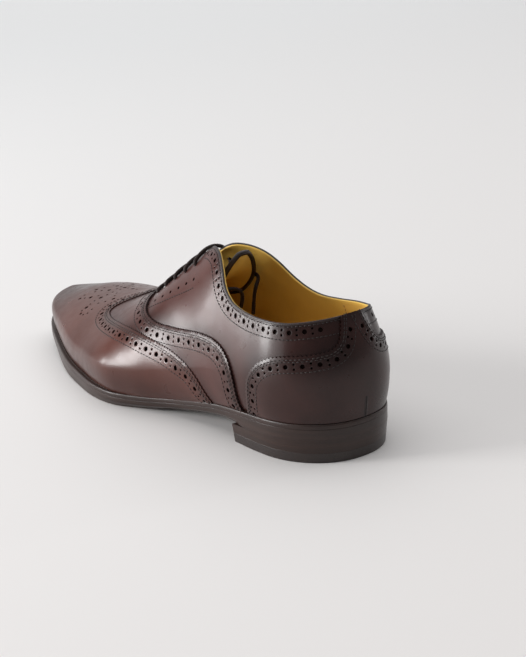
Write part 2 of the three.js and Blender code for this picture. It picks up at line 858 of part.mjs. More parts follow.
function eyeletCutters() {
  const cutters = [];
  const radius = EYELET_DIAMETER / 2;
  for (const side of [-1, 1]) {
    for (const station of EYELET_STATIONS) {
      const turn = side * turnOf(station);
      const axis = lastNormal(turn, EYELET_V);
      const centre = lastPoint(turn, EYELET_V).addScaledVector(axis, -UPPER_WALL / 2);
      const rotation = new THREE.Quaternion().setFromUnitVectors(new THREE.Vector3(0, 1, 0), axis);
      const rod = new THREE.CylinderGeometry(radius, radius, 3 * UPPER_WALL, EYELET_SIDES);
      rod.applyQuaternion(rotation);
      rod.translate(centre.x, centre.y, centre.z);
      cutters.push(solidOf(rod));
    }
  }
  return WASM.Manifold.union(cutters);
}

// Laces
const LACE_SIDES = 8;
const BAR_STEP = 3;
const END_STEP = 5;

/** A closed round cord along points. */
function cord(points, step) {
  const section = new THREE.Shape();
  for (let i = 0; i < LACE_SIDES; i += 1) {
    const angle = (2 * Math.PI * i) / LACE_SIDES;
    const x = (LACE_DIAMETER / 2) * Math.cos(angle);
    const y = (LACE_DIAMETER / 2) * Math.sin(angle);
    if (i === 0) section.moveTo(x, y);
    else section.lineTo(x, y);
  }
  const path = new THREE.CatmullRomCurve3(points, false, 'centripetal');
  const steps = Math.max(2, Math.round(path.getLength() / step));
  return joined(new THREE.ExtrudeGeometry(section, { steps, extrudePath: path, bevelEnabled: false }));
}

// A straight bar over the gap at each row, its ends turned down to the eyelets. The route is given
// across (1 at the eyelet) and by height over the leather, in lace diameters.
const BAR_ROUTE = {
  columns: ['across', 'height'],
  rows: [
    [0.00, 0.50],
    [0.35, 0.50],
    [0.70, 0.50],
    [0.90, 0.43],
    [0.98, 0.20],
    [1.00, 0.00],
  ],
};

function laceBar(row) {
  const turn = turnOf(EYELET_STATIONS[row]);
  const points = [];
  for (const side of [-1, 1]) {
    const half = BAR_ROUTE.rows.map(([across, height]) => {
      const distance = LACE_CLEARANCE + height * LACE_DIAMETER;
      return offLast(side * turn, 1 - across * (1 - EYELET_V), distance);
    });
    if (side < 0) points.push(...half.reverse());
    else points.push(...half.slice(1));
  }
  return cord(points, BAR_STEP);
}

// The two free ends, from inside the top eyelets round the tongue's edges and down behind it
const LACE_ENDS = {
  lateral: [
    [-13.1, 78.1, 81.7],
    [-13.0, 77.0, 80.6],
    [-13.3, 75.5, 79.4],
    [-14.2, 73.5, 78.1],
    [-15.6, 71.0, 76.8],
    [-16.9, 68.4, 75.6],
    [-17.6, 65.6, 74.5],
    [-17.4, 62.8, 73.6],
    [-16.2, 60.3, 72.9],
    [-14.1, 58.2, 72.6],
    [-11.4, 56.6, 72.7],
    [-8.6, 55.6, 72.7],
    [-6.1, 54.9, 72.0],
    [-4.2, 54.6, 70.6],
    [-3.0, 54.8, 68.5],
    [-2.5, 55.4, 65.8],
    [-2.5, 56.3, 62.9],
    [-2.8, 57.2, 60.0],
  ],
  medial: [
    [7.4, 78.2, 81.8],
    [7.3, 77.1, 80.7],
    [7.6, 75.6, 79.5],
    [8.4, 73.7, 78.4],
    [9.8, 71.5, 77.3],
    [11.5, 69.0, 76.2],
    [13.0, 66.3, 75.3],
    [13.7, 63.6, 74.6],
    [13.3, 61.2, 73.9],
    [12.1, 59.4, 73.0],
    [10.6, 58.4, 71.6],
    [9.3, 58.0, 69.7],
    [8.5, 58.1, 67.2],
    [8.1, 58.5, 64.4],
    [8.0, 59.0, 61.0],
    [7.9, 59.5, 57.2],
    [7.8, 60.0, 53.5],
  ],
};

const shoe = new THREE.Group();
shoe.name = 'shoe';

function addPiece(name, geometry, colour, roughness) {
  geometry.computeVertexNormals();
  const material = new THREE.MeshStandardMaterial({ color: colour, roughness, metalness: 0 });
  material.name = name;
  const mesh = new THREE.Mesh(geometry, material);
  mesh.name = name;
  shoe.add(mesh);
}

const BROWN = 0x3a1d14;
const DARK_BROWN = 0x22120d;
const LACE_BROWN = 0x1c0f0b;
const LINING = 0xb98a35;
const RUBBER = 0x15100e;
const upperSolid = shell(-UPPER_WALL, 0).solid().subtract(eyeletCutters());
addPiece('upper', geometryOf(upperSolid), BROWN, 0.35);
const behindCounterEdge = (turn, v) => -seamDistance(COUNTER_EDGE, turn, v);
const aheadOfVampEdge = (turn, v) => seamDistance(VAMP_EDGE, turn, v);
const behindWingEdge = (turn, v) => -seamDistance(WING_EDGE, turn, v) - SEAM_GAP;
const aheadOfWingEdge = (turn, v) => seamDistance(WING_EDGE, turn, v);
const overlay = (thickness, fields) => shell(OVERLAY_GAP, OVERLAY_GAP + thickness, fields).geometry();
addPiece('heel_counter', overlay(COUNTER_THICKNESS, [behindCounterEdge]), BROWN, 0.35);
addPiece('vamp', overlay(VAMP_THICKNESS, [aheadOfVampEdge, behindWingEdge]), BROWN, 0.35);
addPiece('wing_cap', overlay(WING_CAP_THICKNESS, [aheadOfWingEdge]), BROWN, 0.35);
addPiece('tongue', tongue().geometry(), BROWN, 0.45);
addPiece('insole', insole().geometry(), LINING, 0.6);
addPiece('welt', welt().geometry(), DARK_BROWN, 0.5);
addPiece('outsole', outsole().geometry(), DARK_BROWN, 0.5);
addPiece('heel_stack', heelStack().geometry(), DARK_BROWN, 0.45);
addPiece('heel_top_piece', heelTopPiece().geometry(), RUBBER, 0.7);
EYELET_STATIONS.forEach((station, row) => {
  addPiece(`lace_bar_${row + 1}`, laceBar(row), LACE_BROWN, 0.7);
});
for (const [side, points] of Object.entries(LACE_ENDS)) {
  const route = points.map(([x, y, z]) => new THREE.Vector3(x, y, z));
  addPiece(`lace_end_${side}`, cord(route, END_STEP), LACE_BROWN, 0.7);
}

export default shoe;
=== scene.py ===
"""A left oxford shoe with a wing cap: pierced leather panels, lining, laces and sole over its solids."""
import math

import bpy
import numpy as np
from mathutils import Matrix, Vector
from mathutils.geometry import delaunay_2d_cdt
from mathutils.kdtree import KDTree


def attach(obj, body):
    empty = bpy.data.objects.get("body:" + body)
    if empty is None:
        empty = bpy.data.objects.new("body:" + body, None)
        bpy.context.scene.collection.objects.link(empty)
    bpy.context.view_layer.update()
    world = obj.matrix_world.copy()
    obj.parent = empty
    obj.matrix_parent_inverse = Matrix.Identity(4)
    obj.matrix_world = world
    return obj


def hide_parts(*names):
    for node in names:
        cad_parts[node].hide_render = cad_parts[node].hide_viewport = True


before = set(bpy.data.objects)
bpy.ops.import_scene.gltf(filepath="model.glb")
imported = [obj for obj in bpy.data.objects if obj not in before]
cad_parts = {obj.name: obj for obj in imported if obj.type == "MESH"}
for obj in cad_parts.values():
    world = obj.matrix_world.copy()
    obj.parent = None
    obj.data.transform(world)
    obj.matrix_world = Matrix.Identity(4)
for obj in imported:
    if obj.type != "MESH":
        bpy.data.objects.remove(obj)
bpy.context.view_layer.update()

MM = 0.001

# Sizes of the shoe in millimetres, as in its solids
LAST_LENGTH = 290.0
BALL_WIDTH = 90.0
HEEL_BACK_Y = -34.0
UPPER_WALL = 2.0
OVERLAY_GAP = 0.35
VAMP_THICKNESS = 1.0
WING_CAP_THICKNESS = 1.7
COUNTER_THICKNESS = 1.0
LAYER_GAP = 0.3
WELT_THICKNESS = 2.7
OUTSOLE_THICKNESS = 5.3
OUTSOLE_BEVEL = 0.8
OUTSOLE_EDGE_SHARE = 0.45
HEEL_LIFT = 13.0
TOE_SPRING = 9.4
INSOLE_ABOVE_FEATHER = 1.8
INSOLE_SIDE_GAP = 0.7
WELT_INNER_OVERLAP = 0.3
WELT_EDGE_ROUNDING = 0.7
HEEL_BREAST_Y = 28.0
HEEL_BREAST_HOLLOW = 2.5
HEEL_SEAT_INSET = 0.2
HEEL_TAPER = 1.2
TOP_PIECE_THICKNESS = 5.5
LACE_DIAMETER = 2.2
LACE_CLEARANCE = 0.4
EYELET_DIAMETER = 3.6
EYELET_STATIONS = [0.390, 0.422, 0.454, 0.486, 0.516]
EYELET_V = 0.845
THROAT_FRONT = 0.575
TONGUE_THICKNESS = 1.6
TONGUE_HEAD_BACK = 7.5
TONGUE_HEAD_DROP = 11.0
TONGUE_HEAD_SHIFT = 3.0
TONGUE_FRONT = 0.615
TONGUE_TOP = 0.345
TONGUE_HALF_SPAN = 0.27
SOLE_BUILD = LAYER_GAP + WELT_THICKNESS + LAYER_GAP + OUTSOLE_THICKNESS

# Shape of the last
HEEL_CAP_SHARE = 0.13
HEEL_CAP_POWER = 2.2
TOE_CAP_SHARE = 0.30
TOE_CAP_POWER = 2.3
TIP_RISE = 10.0
TIP_ROLL_SHARE = 0.12
TIP_BULGE = 2.5
TIP_BULGE_START = 0.75
WIDEST_V = 0.25
FEATHER_FLARE = 0.45
FEATHER_TURN = 0.12
WIDEST_TURN = 0.5
HEEL_CURVE_SHARE = 0.28

# Half widths at the feather line: station, lateral, medial
PLAN = np.array([
    [0.00, 0.362, 0.362],
    [0.15, 0.365, 0.360],
    [0.29, 0.335, 0.320],
    [0.40, 0.352, 0.290],
    [0.48, 0.430, 0.320],
    [0.54, 0.484, 0.375],
    [0.60, 0.488, 0.432],
    [0.68, 0.462, 0.470],
    [0.78, 0.424, 0.455],
    [0.88, 0.385, 0.415],
    [1.00, 0.370, 0.390],
])
# Centre line of the plan: station, shift
SWING = np.array([
    [0.00, 0.020],
    [0.20, -0.013],
    [0.42, -0.033],
    [0.55, -0.022],
    [0.70, 0.039],
    [0.85, 0.106],
    [1.00, 0.144],
])
# Rise of the feather line: station, heel, toe
LIFT = np.array([
    [0.00, 1.000, 0.000],
    [0.10, 0.969, 0.000],
    [0.20, 0.862, 0.000],
    [0.29, 0.629, 0.000],
    [0.38, 0.277, 0.000],
    [0.46, 0.060, 0.000],
    [0.53, 0.000, 0.000],
    [0.66, 0.000, 0.000],
    [0.75, 0.000, 0.096],
    [0.85, 0.000, 0.383],
    [0.93, 0.000, 0.679],
    [1.00, 0.000, 1.000],
])
# Sections: station, bulge lateral, bulge medial, height of the widest line, spine, spine shift
SIDE = np.array([
    [0.00, 0.0103, 0.0103, 0.069, 0.421, 0.0000],
    [0.10, 0.0121, 0.0103, 0.069, 0.421, 0.0000],
    [0.20, 0.0128, 0.0086, 0.069, 0.407, 0.0000],
    [0.29, 0.0138, 0.0138, 0.069, 0.376, 0.0000],
    [0.38, 0.0172, 0.0241, 0.062, 0.3155, 0.0034],
    [0.46, 0.0190, 0.0241, 0.056, 0.2620, 0.0069],
    [0.53, 0.0160, 0.0190, 0.050, 0.2130, 0.0100],
    [0.60, 0.0130, 0.0155, 0.045, 0.1790, 0.0120],
    [0.66, 0.0110, 0.0130, 0.041, 0.1600, 0.0138],
    [0.75, 0.0095, 0.0103, 0.038, 0.1440, 0.0138],
    [0.85, 0.0070, 0.0076, 0.034, 0.1300, 0.0103],
    [0.93, 0.0062, 0.0062, 0.031, 0.1140, 0.0069],
    [1.00, 0.0052, 0.0052, 0.028, 0.1030, 0.0034],
])
# Fullness from the widest line to the spine: station, upright, level
FULLNESS = np.array([
    [0.00, 0.20, 0.42],
    [0.16, 0.18, 0.43],
    [0.24, 0.09, 0.52],
    [0.32, 0.02, 0.60],
    [0.42, 0.08, 0.58],
    [0.55, 0.22, 0.52],
    [0.68, 0.36, 0.50],
    [0.80, 0.48, 0.52],
    [0.93, 0.50, 0.55],
    [1.00, 0.50, 0.55],
])
# Lean of the heel's back: height over the feather, shift
HEEL_CURVE = np.array([
    [0.000, 0.0000],
    [0.034, -0.0045],
    [0.076, -0.0055],
    [0.124, 0.0028],
    [0.172, 0.0207],
    [0.224, 0.0431],
    [0.293, 0.0690],
    [0.380, 0.0966],
])
# Upper edge: station, lateral, medial
TOP_EDGE = np.array([
    [0.000, 0.530, 0.530],
    [0.037, 0.520, 0.516],
    [0.066, 0.513, 0.502],
    [0.111, 0.514, 0.496],
    [0.154, 0.525, 0.500],
    [0.194, 0.551, 0.520],
    [0.232, 0.593, 0.567],
    [0.259, 0.648, 0.622],
    [0.280, 0.722, 0.682],
    [0.300, 0.786, 0.738],
    [0.320, 0.836, 0.790],
    [0.342, 0.884, 0.850],
    [0.364, 0.922, 0.912],
    [0.380, 0.938, 0.936],
    [0.395, 0.940, 0.940],
    [0.420, 0.940, 0.940],
    [1.000, 0.940, 0.940],
])
# Edges of the overlays: v, station
COUNTER_EDGE = np.array([
    [0.000, 0.1640],
    [0.167, 0.1540],
    [0.260, 0.1480],
    [0.325, 0.1340],
    [0.370, 0.1100],
    [0.396, 0.0710],
    [0.404, 0.0400],
    [0.414, 0.0177],
    [0.434, 0.0080],
    [0.470, 0.0043],
    [0.530, 0.0022],
    [1.000, 0.0022],
])
VAMP_EDGE = np.array([
    [0.000, 0.1835],
    [0.090, 0.1874],
    [0.223, 0.1915],
    [0.340, 0.2061],
    [0.417, 0.2365],
    [0.460, 0.2730],
    [0.503, 0.3257],
    [0.540, 0.3858],
    [0.573, 0.4300],
    [0.620, 0.4630],
    [0.700, 0.4970],
    [0.763, 0.5130],
    [0.820, 0.5270],
    [0.880, 0.5480],
    [0.940, 0.5700],
    [1.000, 0.5780],
])
WING_EDGE = np.array([
    [0.000, 0.2720],
    [0.063, 0.2777],
    [0.200, 0.3014],
    [0.320, 0.3306],
    [0.413, 0.3706],
    [0.463, 0.4089],
    [0.520, 0.4556],
    [0.560, 0.4900],
    [0.627, 0.5650],
    [0.662, 0.6270],
    [0.700, 0.6700],
    [0.740, 0.6810],
    [0.800, 0.6700],
    [0.870, 0.6500],
    [0.940, 0.6280],
    [1.000, 0.6110],
])
# Sole edge beyond the feather line: station, lateral, medial
SOLE_MARGIN = np.array([
    [0.00, 0.022, 0.022],
    [0.15, 0.022, 0.022],
    [0.30, 0.022, 0.017],
    [0.45, 0.028, 0.017],
    [0.60, 0.056, 0.039],
    [0.70, 0.061, 0.050],
    [0.90, 0.056, 0.056],
    [1.00, 0.056, 0.056],
])
# Cut-in of the outsole's lower edge: station, share
WAIST_BEVEL = np.array([
    [0.00, 0.006],
    [0.18, 0.006],
    [0.26, 0.045],
    [0.36, 0.062],
    [0.46, 0.040],
    [0.56, 0.012],
    [1.00, 0.009],
])
# Tongue from its front to its head: along, station, width, back, drop, flat
TONGUE_FORM = np.array([
    [0.00, 0.000, 0.75, 0.00, 0.00, 0.00],
    [0.25, 0.330, 0.88, 0.00, 0.00, 0.00],
    [0.50, 0.620, 1.00, 0.00, 0.10, 0.00],
    [0.62, 0.740, 1.00, 0.15, 0.60, 0.10],
    [0.72, 0.830, 0.98, 0.45, 0.95, 0.30],
    [0.80, 0.890, 0.90, 0.80, 1.00, 0.50],
    [0.87, 0.935, 0.78, 1.00, 0.85, 0.60],
    [0.93, 0.970, 0.62, 1.00, 0.60, 0.65],
    [0.97, 0.990, 0.44, 0.97, 0.42, 0.65],
    [1.00, 1.000, 0.24, 0.93, 0.30, 0.65],
])
# Lace bar from its middle to the eyelet: across, height over the leather in lace diameters
BAR_ROUTE = [(0.00, 0.50), (0.35, 0.50), (0.70, 0.50), (0.90, 0.43), (0.98, 0.20), (1.00, 0.00)]
# The two free ends, from inside the top eyelets round the tongue's edges and down behind it
LACE_ENDS = {
    "lateral": [
        (-13.1, 78.1, 81.7), (-13.0, 77.0, 80.6), (-13.3, 75.5, 79.4), (-14.2, 73.5, 78.1),
        (-15.6, 71.0, 76.8), (-16.9, 68.4, 75.6), (-17.6, 65.6, 74.5), (-17.4, 62.8, 73.6),
        (-16.2, 60.3, 72.9), (-14.1, 58.2, 72.6), (-11.4, 56.6, 72.7), (-8.6, 55.6, 72.7),
        (-6.1, 54.9, 72.0), (-4.2, 54.6, 70.6), (-3.0, 54.8, 68.5), (-2.5, 55.4, 65.8),
        (-2.5, 56.3, 62.9), (-2.8, 57.2, 60.0),
    ],
    "medial": [
        (7.4, 78.2, 81.8), (7.3, 77.1, 80.7), (7.6, 75.6, 79.5), (8.4, 73.7, 78.4),
        (9.8, 71.5, 77.3), (11.5, 69.0, 76.2), (13.0, 66.3, 75.3), (13.7, 63.6, 74.6),
        (13.3, 61.2, 73.9), (12.1, 59.4, 73.0), (10.6, 58.4, 71.6), (9.3, 58.0, 69.7),
        (8.5, 58.1, 67.2), (8.1, 58.5, 64.4), (8.0, 59.0, 61.0), (7.9, 59.5, 57.2),
        (7.8, 60.0, 53.5),
    ],
}

# Camera: azimuth, elevation and roll in degrees, distance and aim in metres
CAMERA_AZIMUTH = -38.0
CAMERA_ELEVATION = 17.84
CAMERA_ROLL = -3.0
CAMERA_DISTANCE = 0.900
CAMERA_AIM = (0.05998, 0.11873, 0.020)
CAMERA_FOCAL_PIXELS = 1492.9
IMAGE_WIDTH = 526
SENSOR_WIDTH = 36.0


# The last's surface

def look_up(table, x):
    """Cubic interpolation of a table's columns at x; one row of results for each x."""
    x = np.clip(np.asarray(x, float), table[0, 0], table[-1, 0])
    at = table[:, 0]
    values = table[:, 1:]
    slope = (values[1:] - values[:-1]) / (at[1:] - at[:-1])[:, None]
    before = (at[1:-1] - at[:-2])[:, None]
    after = (at[2:] - at[1:-1])[:, None]
    inner = (slope[:-1] * after + slope[1:] * before) / (before + after)
    tangent = np.vstack([slope[:1], inner, slope[-1:]])
    i = np.clip(np.searchsorted(at, x, side="left") - 1, 0, len(at) - 2)
    span = (at[i + 1] - at[i])[..., None]
    t = (x - at[i])[..., None] / span
    return ((1 + 2 * t) * (1 - t) ** 2 * values[i] + t * (1 - t) ** 2 * tangent[i] * span
            + t * t * (3 - 2 * t) * values[i + 1] + t * t * (t - 1) * tangent[i + 1] * span)


def bezier(a, b, c, d, t):
    return (1 - t) ** 3 * a + 3 * (1 - t) ** 2 * t * b + 3 * (1 - t) * t * t * c + t ** 3 * d


def station_of(turn):
    return (1 - np.cos(np.pi * np.abs(turn))) / 2


def turn_of(station):
    return np.arccos(1 - 2 * np.clip(station, 0, 1)) / np.pi


def feather_at(station):
    lift = look_up(LIFT, station)
    return (SOLE_BUILD + np.maximum(0, lift[..., 0]) * HEEL_LIFT
            + np.maximum(0, lift[..., 1]) * TOE_SPRING)


def one_side(turn, v):
    """Folds heights over the spine and turns past the toe back onto one side of the last."""
    turn, v = np.broadcast_arrays(np.asarray(turn, float), np.asarray(v, float))
    over = v > 1
    turn = np.where(over, -turn, turn)
    v = np.where(over, 2 - v, v)
    turn = np.where(turn > 1, turn - 2, np.where(turn < -1, turn + 2, turn))
    return turn, v


def last_point(turn, v):
    """Points of the last: turn -1 (toe) over the lateral side, 0 (heel) and medial to 1; v 0 feather, 1 spine."""
    turn, v = one_side(turn, v)
    side = np.where(turn < 0, -1.0, 1.0)
    s = station_of(turn)
    plan = look_up(PLAN, s)
    section = look_up(SIDE, s)
    full = look_up(FULLNESS, s)
    half = np.where(side < 0, plan[..., 0], plan[..., 1]) * BALL_WIDTH
    bulge = np.where(side < 0, section[..., 0], section[..., 1]) * LAST_LENGTH
    feather = feather_at(s)
    widest = section[..., 2] * LAST_LENGTH
    spine_x = section[..., 4] * LAST_LENGTH * side
    roll = np.clip((s - (1 - TIP_ROLL_SHARE)) / TIP_ROLL_SHARE, 0, 1)
    tip = feather + TIP_RISE
    spine = tip + (section[..., 3] * LAST_LENGTH - tip) * np.sqrt(1 - roll * roll)
    low = np.clip(v / WIDEST_V, 0, 1)
    high = np.clip((v - WIDEST_V) / (1 - WIDEST_V), 0, 1)
    outer = half + bulge
    middle = feather + widest
    x_low = bezier(half, half + FEATHER_FLARE * bulge, outer, outer, low)
    z_low = bezier(feather, feather + FEATHER_TURN * widest, feather + WIDEST_TURN * widest, middle, low)
    x_high = bezier(outer, outer, spine_x + full[..., 1] * (outer - spine_x), spine_x, high)
    z_high = bezier(middle, middle + full[..., 0] * (spine - middle), spine, spine, high)
    x = np.where(v < WIDEST_V, x_low, x_high)
    z = np.where(v < WIDEST_V, z_low, z_high)
    heel = np.clip((HEEL_CAP_SHARE - s) / HEEL_CAP_SHARE, 0, 1)
    toe = np.clip((s - (1 - TOE_CAP_SHARE)) / TOE_CAP_SHARE, 0, 1)
    narrowing = ((1 - heel ** HEEL_CAP_POWER) ** (1 / HEEL_CAP_POWER)
                 * (1 - toe ** TOE_CAP_POWER) ** (1 / TOE_CAP_POWER))
    x = spine_x + (x - spine_x) * narrowing
    back_share = np.clip(1 - s / HEEL_CURVE_SHARE, 0, 1) ** 2
    lean = look_up(HEEL_CURVE, (z - feather) / LAST_LENGTH)[..., 0] * LAST_LENGTH * back_share
    tip_share = np.clip((s - TIP_BULGE_START) / (1 - TIP_BULGE_START), 0, 1) ** 2
    y = HEEL_BACK_Y + s * LAST_LENGTH + lean + TIP_BULGE * np.sin(np.pi / 2 * low) * tip_share
    return np.stack([side * x + look_up(SWING, s)[..., 0] * BALL_WIDTH, y, z], axis=-1)


def unit(vectors):
    return vectors / np.maximum(np.linalg.norm(vectors, axis=-1, keepdims=True), 1e-12)


def last_normal(turn, v):
    """Outward normals of the last; level along the feather line."""
    turn, v = one_side(turn, v)
    step = 0.002
    along = last_point(turn + step, v) - last_point(turn - step, v)
    up = last_point(turn, v + step) - last_point(turn, np.maximum(0, v - step))
    level = np.stack([along[..., 1], -along[..., 0], np.zeros_like(v)], axis=-1)
    return unit(np.where((v <= 0)[..., None], level, np.cross(along, up)))


def off_last(turn, v, distance):
    return last_point(turn, v) + last_normal(turn, v) * np.asarray(distance, float)[..., None]


def slide(turn, v, direction):
    """Steps in turn and v that move points of the last along directions in millimetres."""
    step = 0.0015
    e1 = (last_point(turn + step, v) - last_point(turn - step, v)) / (2 * step)
    e2 = (last_point(turn, v + step) - last_point(turn, v - step)) / (2 * step)
    a, b, d = (e1 * e1).sum(-1), (e1 * e2).sum(-1), (e2 * e2).sum(-1)
    p, q = (e1 * direction).sum(-1), (e2 * direction).sum(-1)
    det = np.maximum(a * d - b * b, 1e-6)
    return (d * p - b * q) / det, (a * q - b * p) / det


def reach_for(turn, v, targets, passes=14):
    """Places on the last nearest to target points, starting from others close by."""
    for _ in range(passes):
        pull = targets - last_point(turn, v)
        far = np.linalg.norm(pull, axis=-1, keepdims=True)
        du, dv = slide(turn, v, pull * np.minimum(1, 1.5 / np.maximum(far, 1e-9)) * 0.8)
        turn, v = turn + du, v + dv
    return turn, v


# Curves on the last, as arrays of (turn, v)

def lengths_of(points):
    steps = np.linalg.norm(np.diff(points, axis=0), axis=1)
    return np.concatenate([[0], np.cumsum(steps)])


def spaced(curve, pitch, start=0.0, end=0.0, split=1):
    """The curve again with points at an even spacing, leaving out a length at each end."""
    run = lengths_of(last_point(curve[:, 0], curve[:, 1]))
    span = run[-1] - start - end
    count = max(1, int(round(span / pitch))) * split
    at = start + span * np.arange(count + 1) / count
    return np.stack([np.interp(at, run, curve[:, 0]), np.interp(at, run, curve[:, 1])], axis=1)


def frames_along(curve):
    """Points, directions along the curve, directions to its left on the surface, and normals."""
    points = last_point(curve[:, 0], curve[:, 1])
    normals = last_normal(curve[:, 0], curve[:, 1])
    along = np.gradient(points, axis=0)
    left = unit(np.cross(normals, along))
    return points, unit(np.cross(left, normals)), left, normals


def beside(curve, distance):
    """The curve moved sideways on the surface, to its left, by a distance or one for each point."""
    points, _, left, _ = frames_along(curve)
    targets = points + left * (np.zeros(len(curve)) + distance)[:, None]
    return np.stack(reach_for(curve[:, 0], curve[:, 1], targets), axis=1)


def edge_curve(table, low=0.0, high=1.0, count=400):
    """An overlay's edge on the lateral side, from low to high."""
    v = np.linspace(low, high, count)
    return np.stack([-turn_of(look_up(table, v)[:, 0]), v], axis=1)


def eased(curve, passes):
    """The curve smoothed along the surface, with its ends kept."""
    line = spaced(curve, 1.0)
    for _ in range(passes):
        points = last_point(line[:, 0], line[:, 1])
        pull = np.zeros_like(points)
        pull[1:-1] = 0.5 * ((points[:-2] + points[2:]) / 2 - points[1:-1])
        du, dv = slide(line[:, 0], line[:, 1], pull)
        line = line + np.stack([du, dv], axis=1)
        line[[0, -1]] = curve[[0, -1]]
    return line


def over_spine(curve):
    """A lateral curve from feather to spine, carried on down the medial side."""
    other = curve[::-1].copy()
    other[:, 1] = 2 - other[:, 1]
    return np.vstack([curve, other[1:]])


def other_side(curve):
    """The same curve on the other side of the shoe, in the same direction."""
    return np.stack([-curve[:, 0], curve[:, 1]], axis=1)


def top_curve(side, front, count=500):
    """The upper's top edge on one side, from the back seam to a station."""
    turn = np.linspace(0, turn_of(front), count)
    height = look_up(TOP_EDGE, station_of(turn))[:, 0 if side < 0 else 1]
    return np.stack([side * turn, height], axis=1)


def pinked(curve, pitch=2.2, depth=0.9):
    """The curve with a saw-toothed edge to its left."""
    base = spaced(curve, pitch / 2)
    teeth = np.where(np.arange(len(base)) % 2 == 0, 0.0, depth)
    teeth[-1] = 0
    return beside(base, teeth)


# Meshes

def make_mesh(name, points, faces, material, normals=None, burnish_and_shade=None, slot=None, replaces=(), smooth=True):
    """A piece of the shoe from points in millimetres, riding on the shoe's only body."""
    mesh = bpy.data.meshes.new(name)
    mesh.from_pydata((np.asarray(points) * MM).tolist(), [], [list(map(int, f)) for f in faces])
    mesh.polygons.foreach_set("use_smooth", [smooth] * len(mesh.polygons))
    if burnish_and_shade is not None:
        layer = mesh.attributes.new("burnish_and_shade", "FLOAT", "POINT")
        layer.data.foreach_set("value", np.asarray(burnish_and_shade, float))
    if normals is not None:
        mesh.normals_split_custom_set_from_vertices(np.asarray(normals).tolist())
    mesh.materials.append(material)
    mesh.update()
    piece = bpy.data.objects.new(name, mesh)
    bpy.context.scene.collection.objects.link(piece)
    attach(piece, "root")
    if replaces:
        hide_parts(*replaces)
    return piece


class Parts:
    """Collects points, faces, normals and the burnish-and-shade darkening of one mesh."""

    def __init__(self):
        self.points, self.faces, self.normals, self.burnish_and_shade = [], [], [], []
        self.count = 0

    def add(self, points, faces, normals, burnish_and_shade=None):
        points = np.asarray(points, float).reshape(-1, 3)
        self.points.append(points)
        self.normals.append(np.asarray(normals, float).reshape(-1, 3))
        self.burnish_and_shade.append(np.zeros(len(points)) if burnish_and_shade is None else np.asarray(burnish_and_shade, float))
        self.faces.extend((np.asarray(f) + self.count).tolist() for f in faces)
        self.count += len(points)

    def build(self, name, material, **options):
        return make_mesh(name, np.vstack(self.points), self.faces, material,
                         normals=np.vstack(self.normals), burnish_and_shade=np.concatenate(self.burnish_and_shade), **options)


def grid_faces(rows, columns, closed=False, flip=False):
    """Quads of a grid of points stored row by row."""
    last = columns if closed else columns - 1
    faces = []
    for i in range(rows - 1):
        for k in range(last):
            a = i * columns + k
            b = i * columns + (k + 1) % columns
            quad = (a, b, b + columns, a + columns)
            faces.append(quad[::-1] if flip else quad)
    return faces


def grid_normals(points, flip=False, closed=False):
    """Normals of a grid of points, shape rows by columns by 3."""
    across = np.roll(points, -1, 1) - np.roll(points, 1, 1) if closed else np.gradient(points, axis=1)
    normals = unit(np.cross(across, np.gradient(points, axis=0)))
    return -normals if flip else normals


# Burnish and painted shade: darker polish near edges, seams, heel and toe, with painted shade at the heel's back
# and low on the waist

SEAM_TREE = None


def build_seam_tree(curves):
    points = np.vstack([last_point(c[:, 0], c[:, 1]) for c in curves])
    tree = KDTree(len(points))
    for i, p in enumerate(points):
        tree.insert(p, i)
    tree.balance()
    return tree


def smooth_step(x, low, high):
    t = np.clip((x - low) / (high - low), 0, 1)
    return t * t * (3 - 2 * t)


def burnish_and_shade_at(points):
    """Darkening at points in millimetres, from 0 to 1: burnished polish mixed with painted shade."""
    seam = np.array([SEAM_TREE.find(p)[2] for p in points])
    near_seam = 0.55 * np.exp(-(seam / 6.5) ** 2)
    # Darker towards the heel's back: partly burnish, partly painted shade.
    heel = 0.75 * smooth_step(-points[:, 1], -62, 22)
    toe = 0.6 * smooth_step(points[:, 1], 198, 250)
    # Darker low on the waist near the welt: painted shade.
    low = 0.45 * np.exp(-((points[:, 2] - 14) / 13) ** 2) * smooth_step(points[:, 1], 20, 90)
    return np.clip(1 - (1 - near_seam) * (1 - heel) * (1 - toe) * (1 - low), 0, 1)


# Pierced panels

PLANE_TURN = 380.0
PLANE_V = 95.0
BIG_HOLE = 1.3
SMALL_HOLE = 0.62
EYELET_HOLE = EYELET_DIAMETER / 2 - 0.35


def inside(points, outline):
    """Which points of the plane lie inside a closed outline."""
    x, y = points[:, 0], points[:, 1]
    result = np.zeros(len(points), bool)
    ax, ay = outline[:, 0], outline[:, 1]
    bx, by = np.roll(ax, -1), np.roll(ay, -1)
    for i in range(len(outline)):
        if ay[i] == by[i]:
            continue
        crosses = (ay[i] > y) != (by[i] > y)
        result ^= crosses & (x < (bx[i] - ax[i]) * (y - ay[i]) / (by[i] - ay[i]) + ax[i])
    return result


def ring_at(turn, v, radius, count, shift=0.0):
    """Points of (turn, v) on a circle round a place on the surface."""
    turns = np.full(count, turn)
    heights = np.full(count, v)
    normal = last_normal(turns, heights)
    step = 0.001
    e1 = unit(last_point(turns + step, heights) - last_point(turns - step, heights))
    e2 = np.cross(normal, e1)
    angle = 2 * np.pi * (np.arange(count) + shift) / count
    circle = np.cos(angle)[:, None] * e1 + np.sin(angle)[:, None] * e2
    targets = last_point(turns, heights) + radius * circle
    return np.stack(reach_for(turns, heights, targets, 8), axis=1)


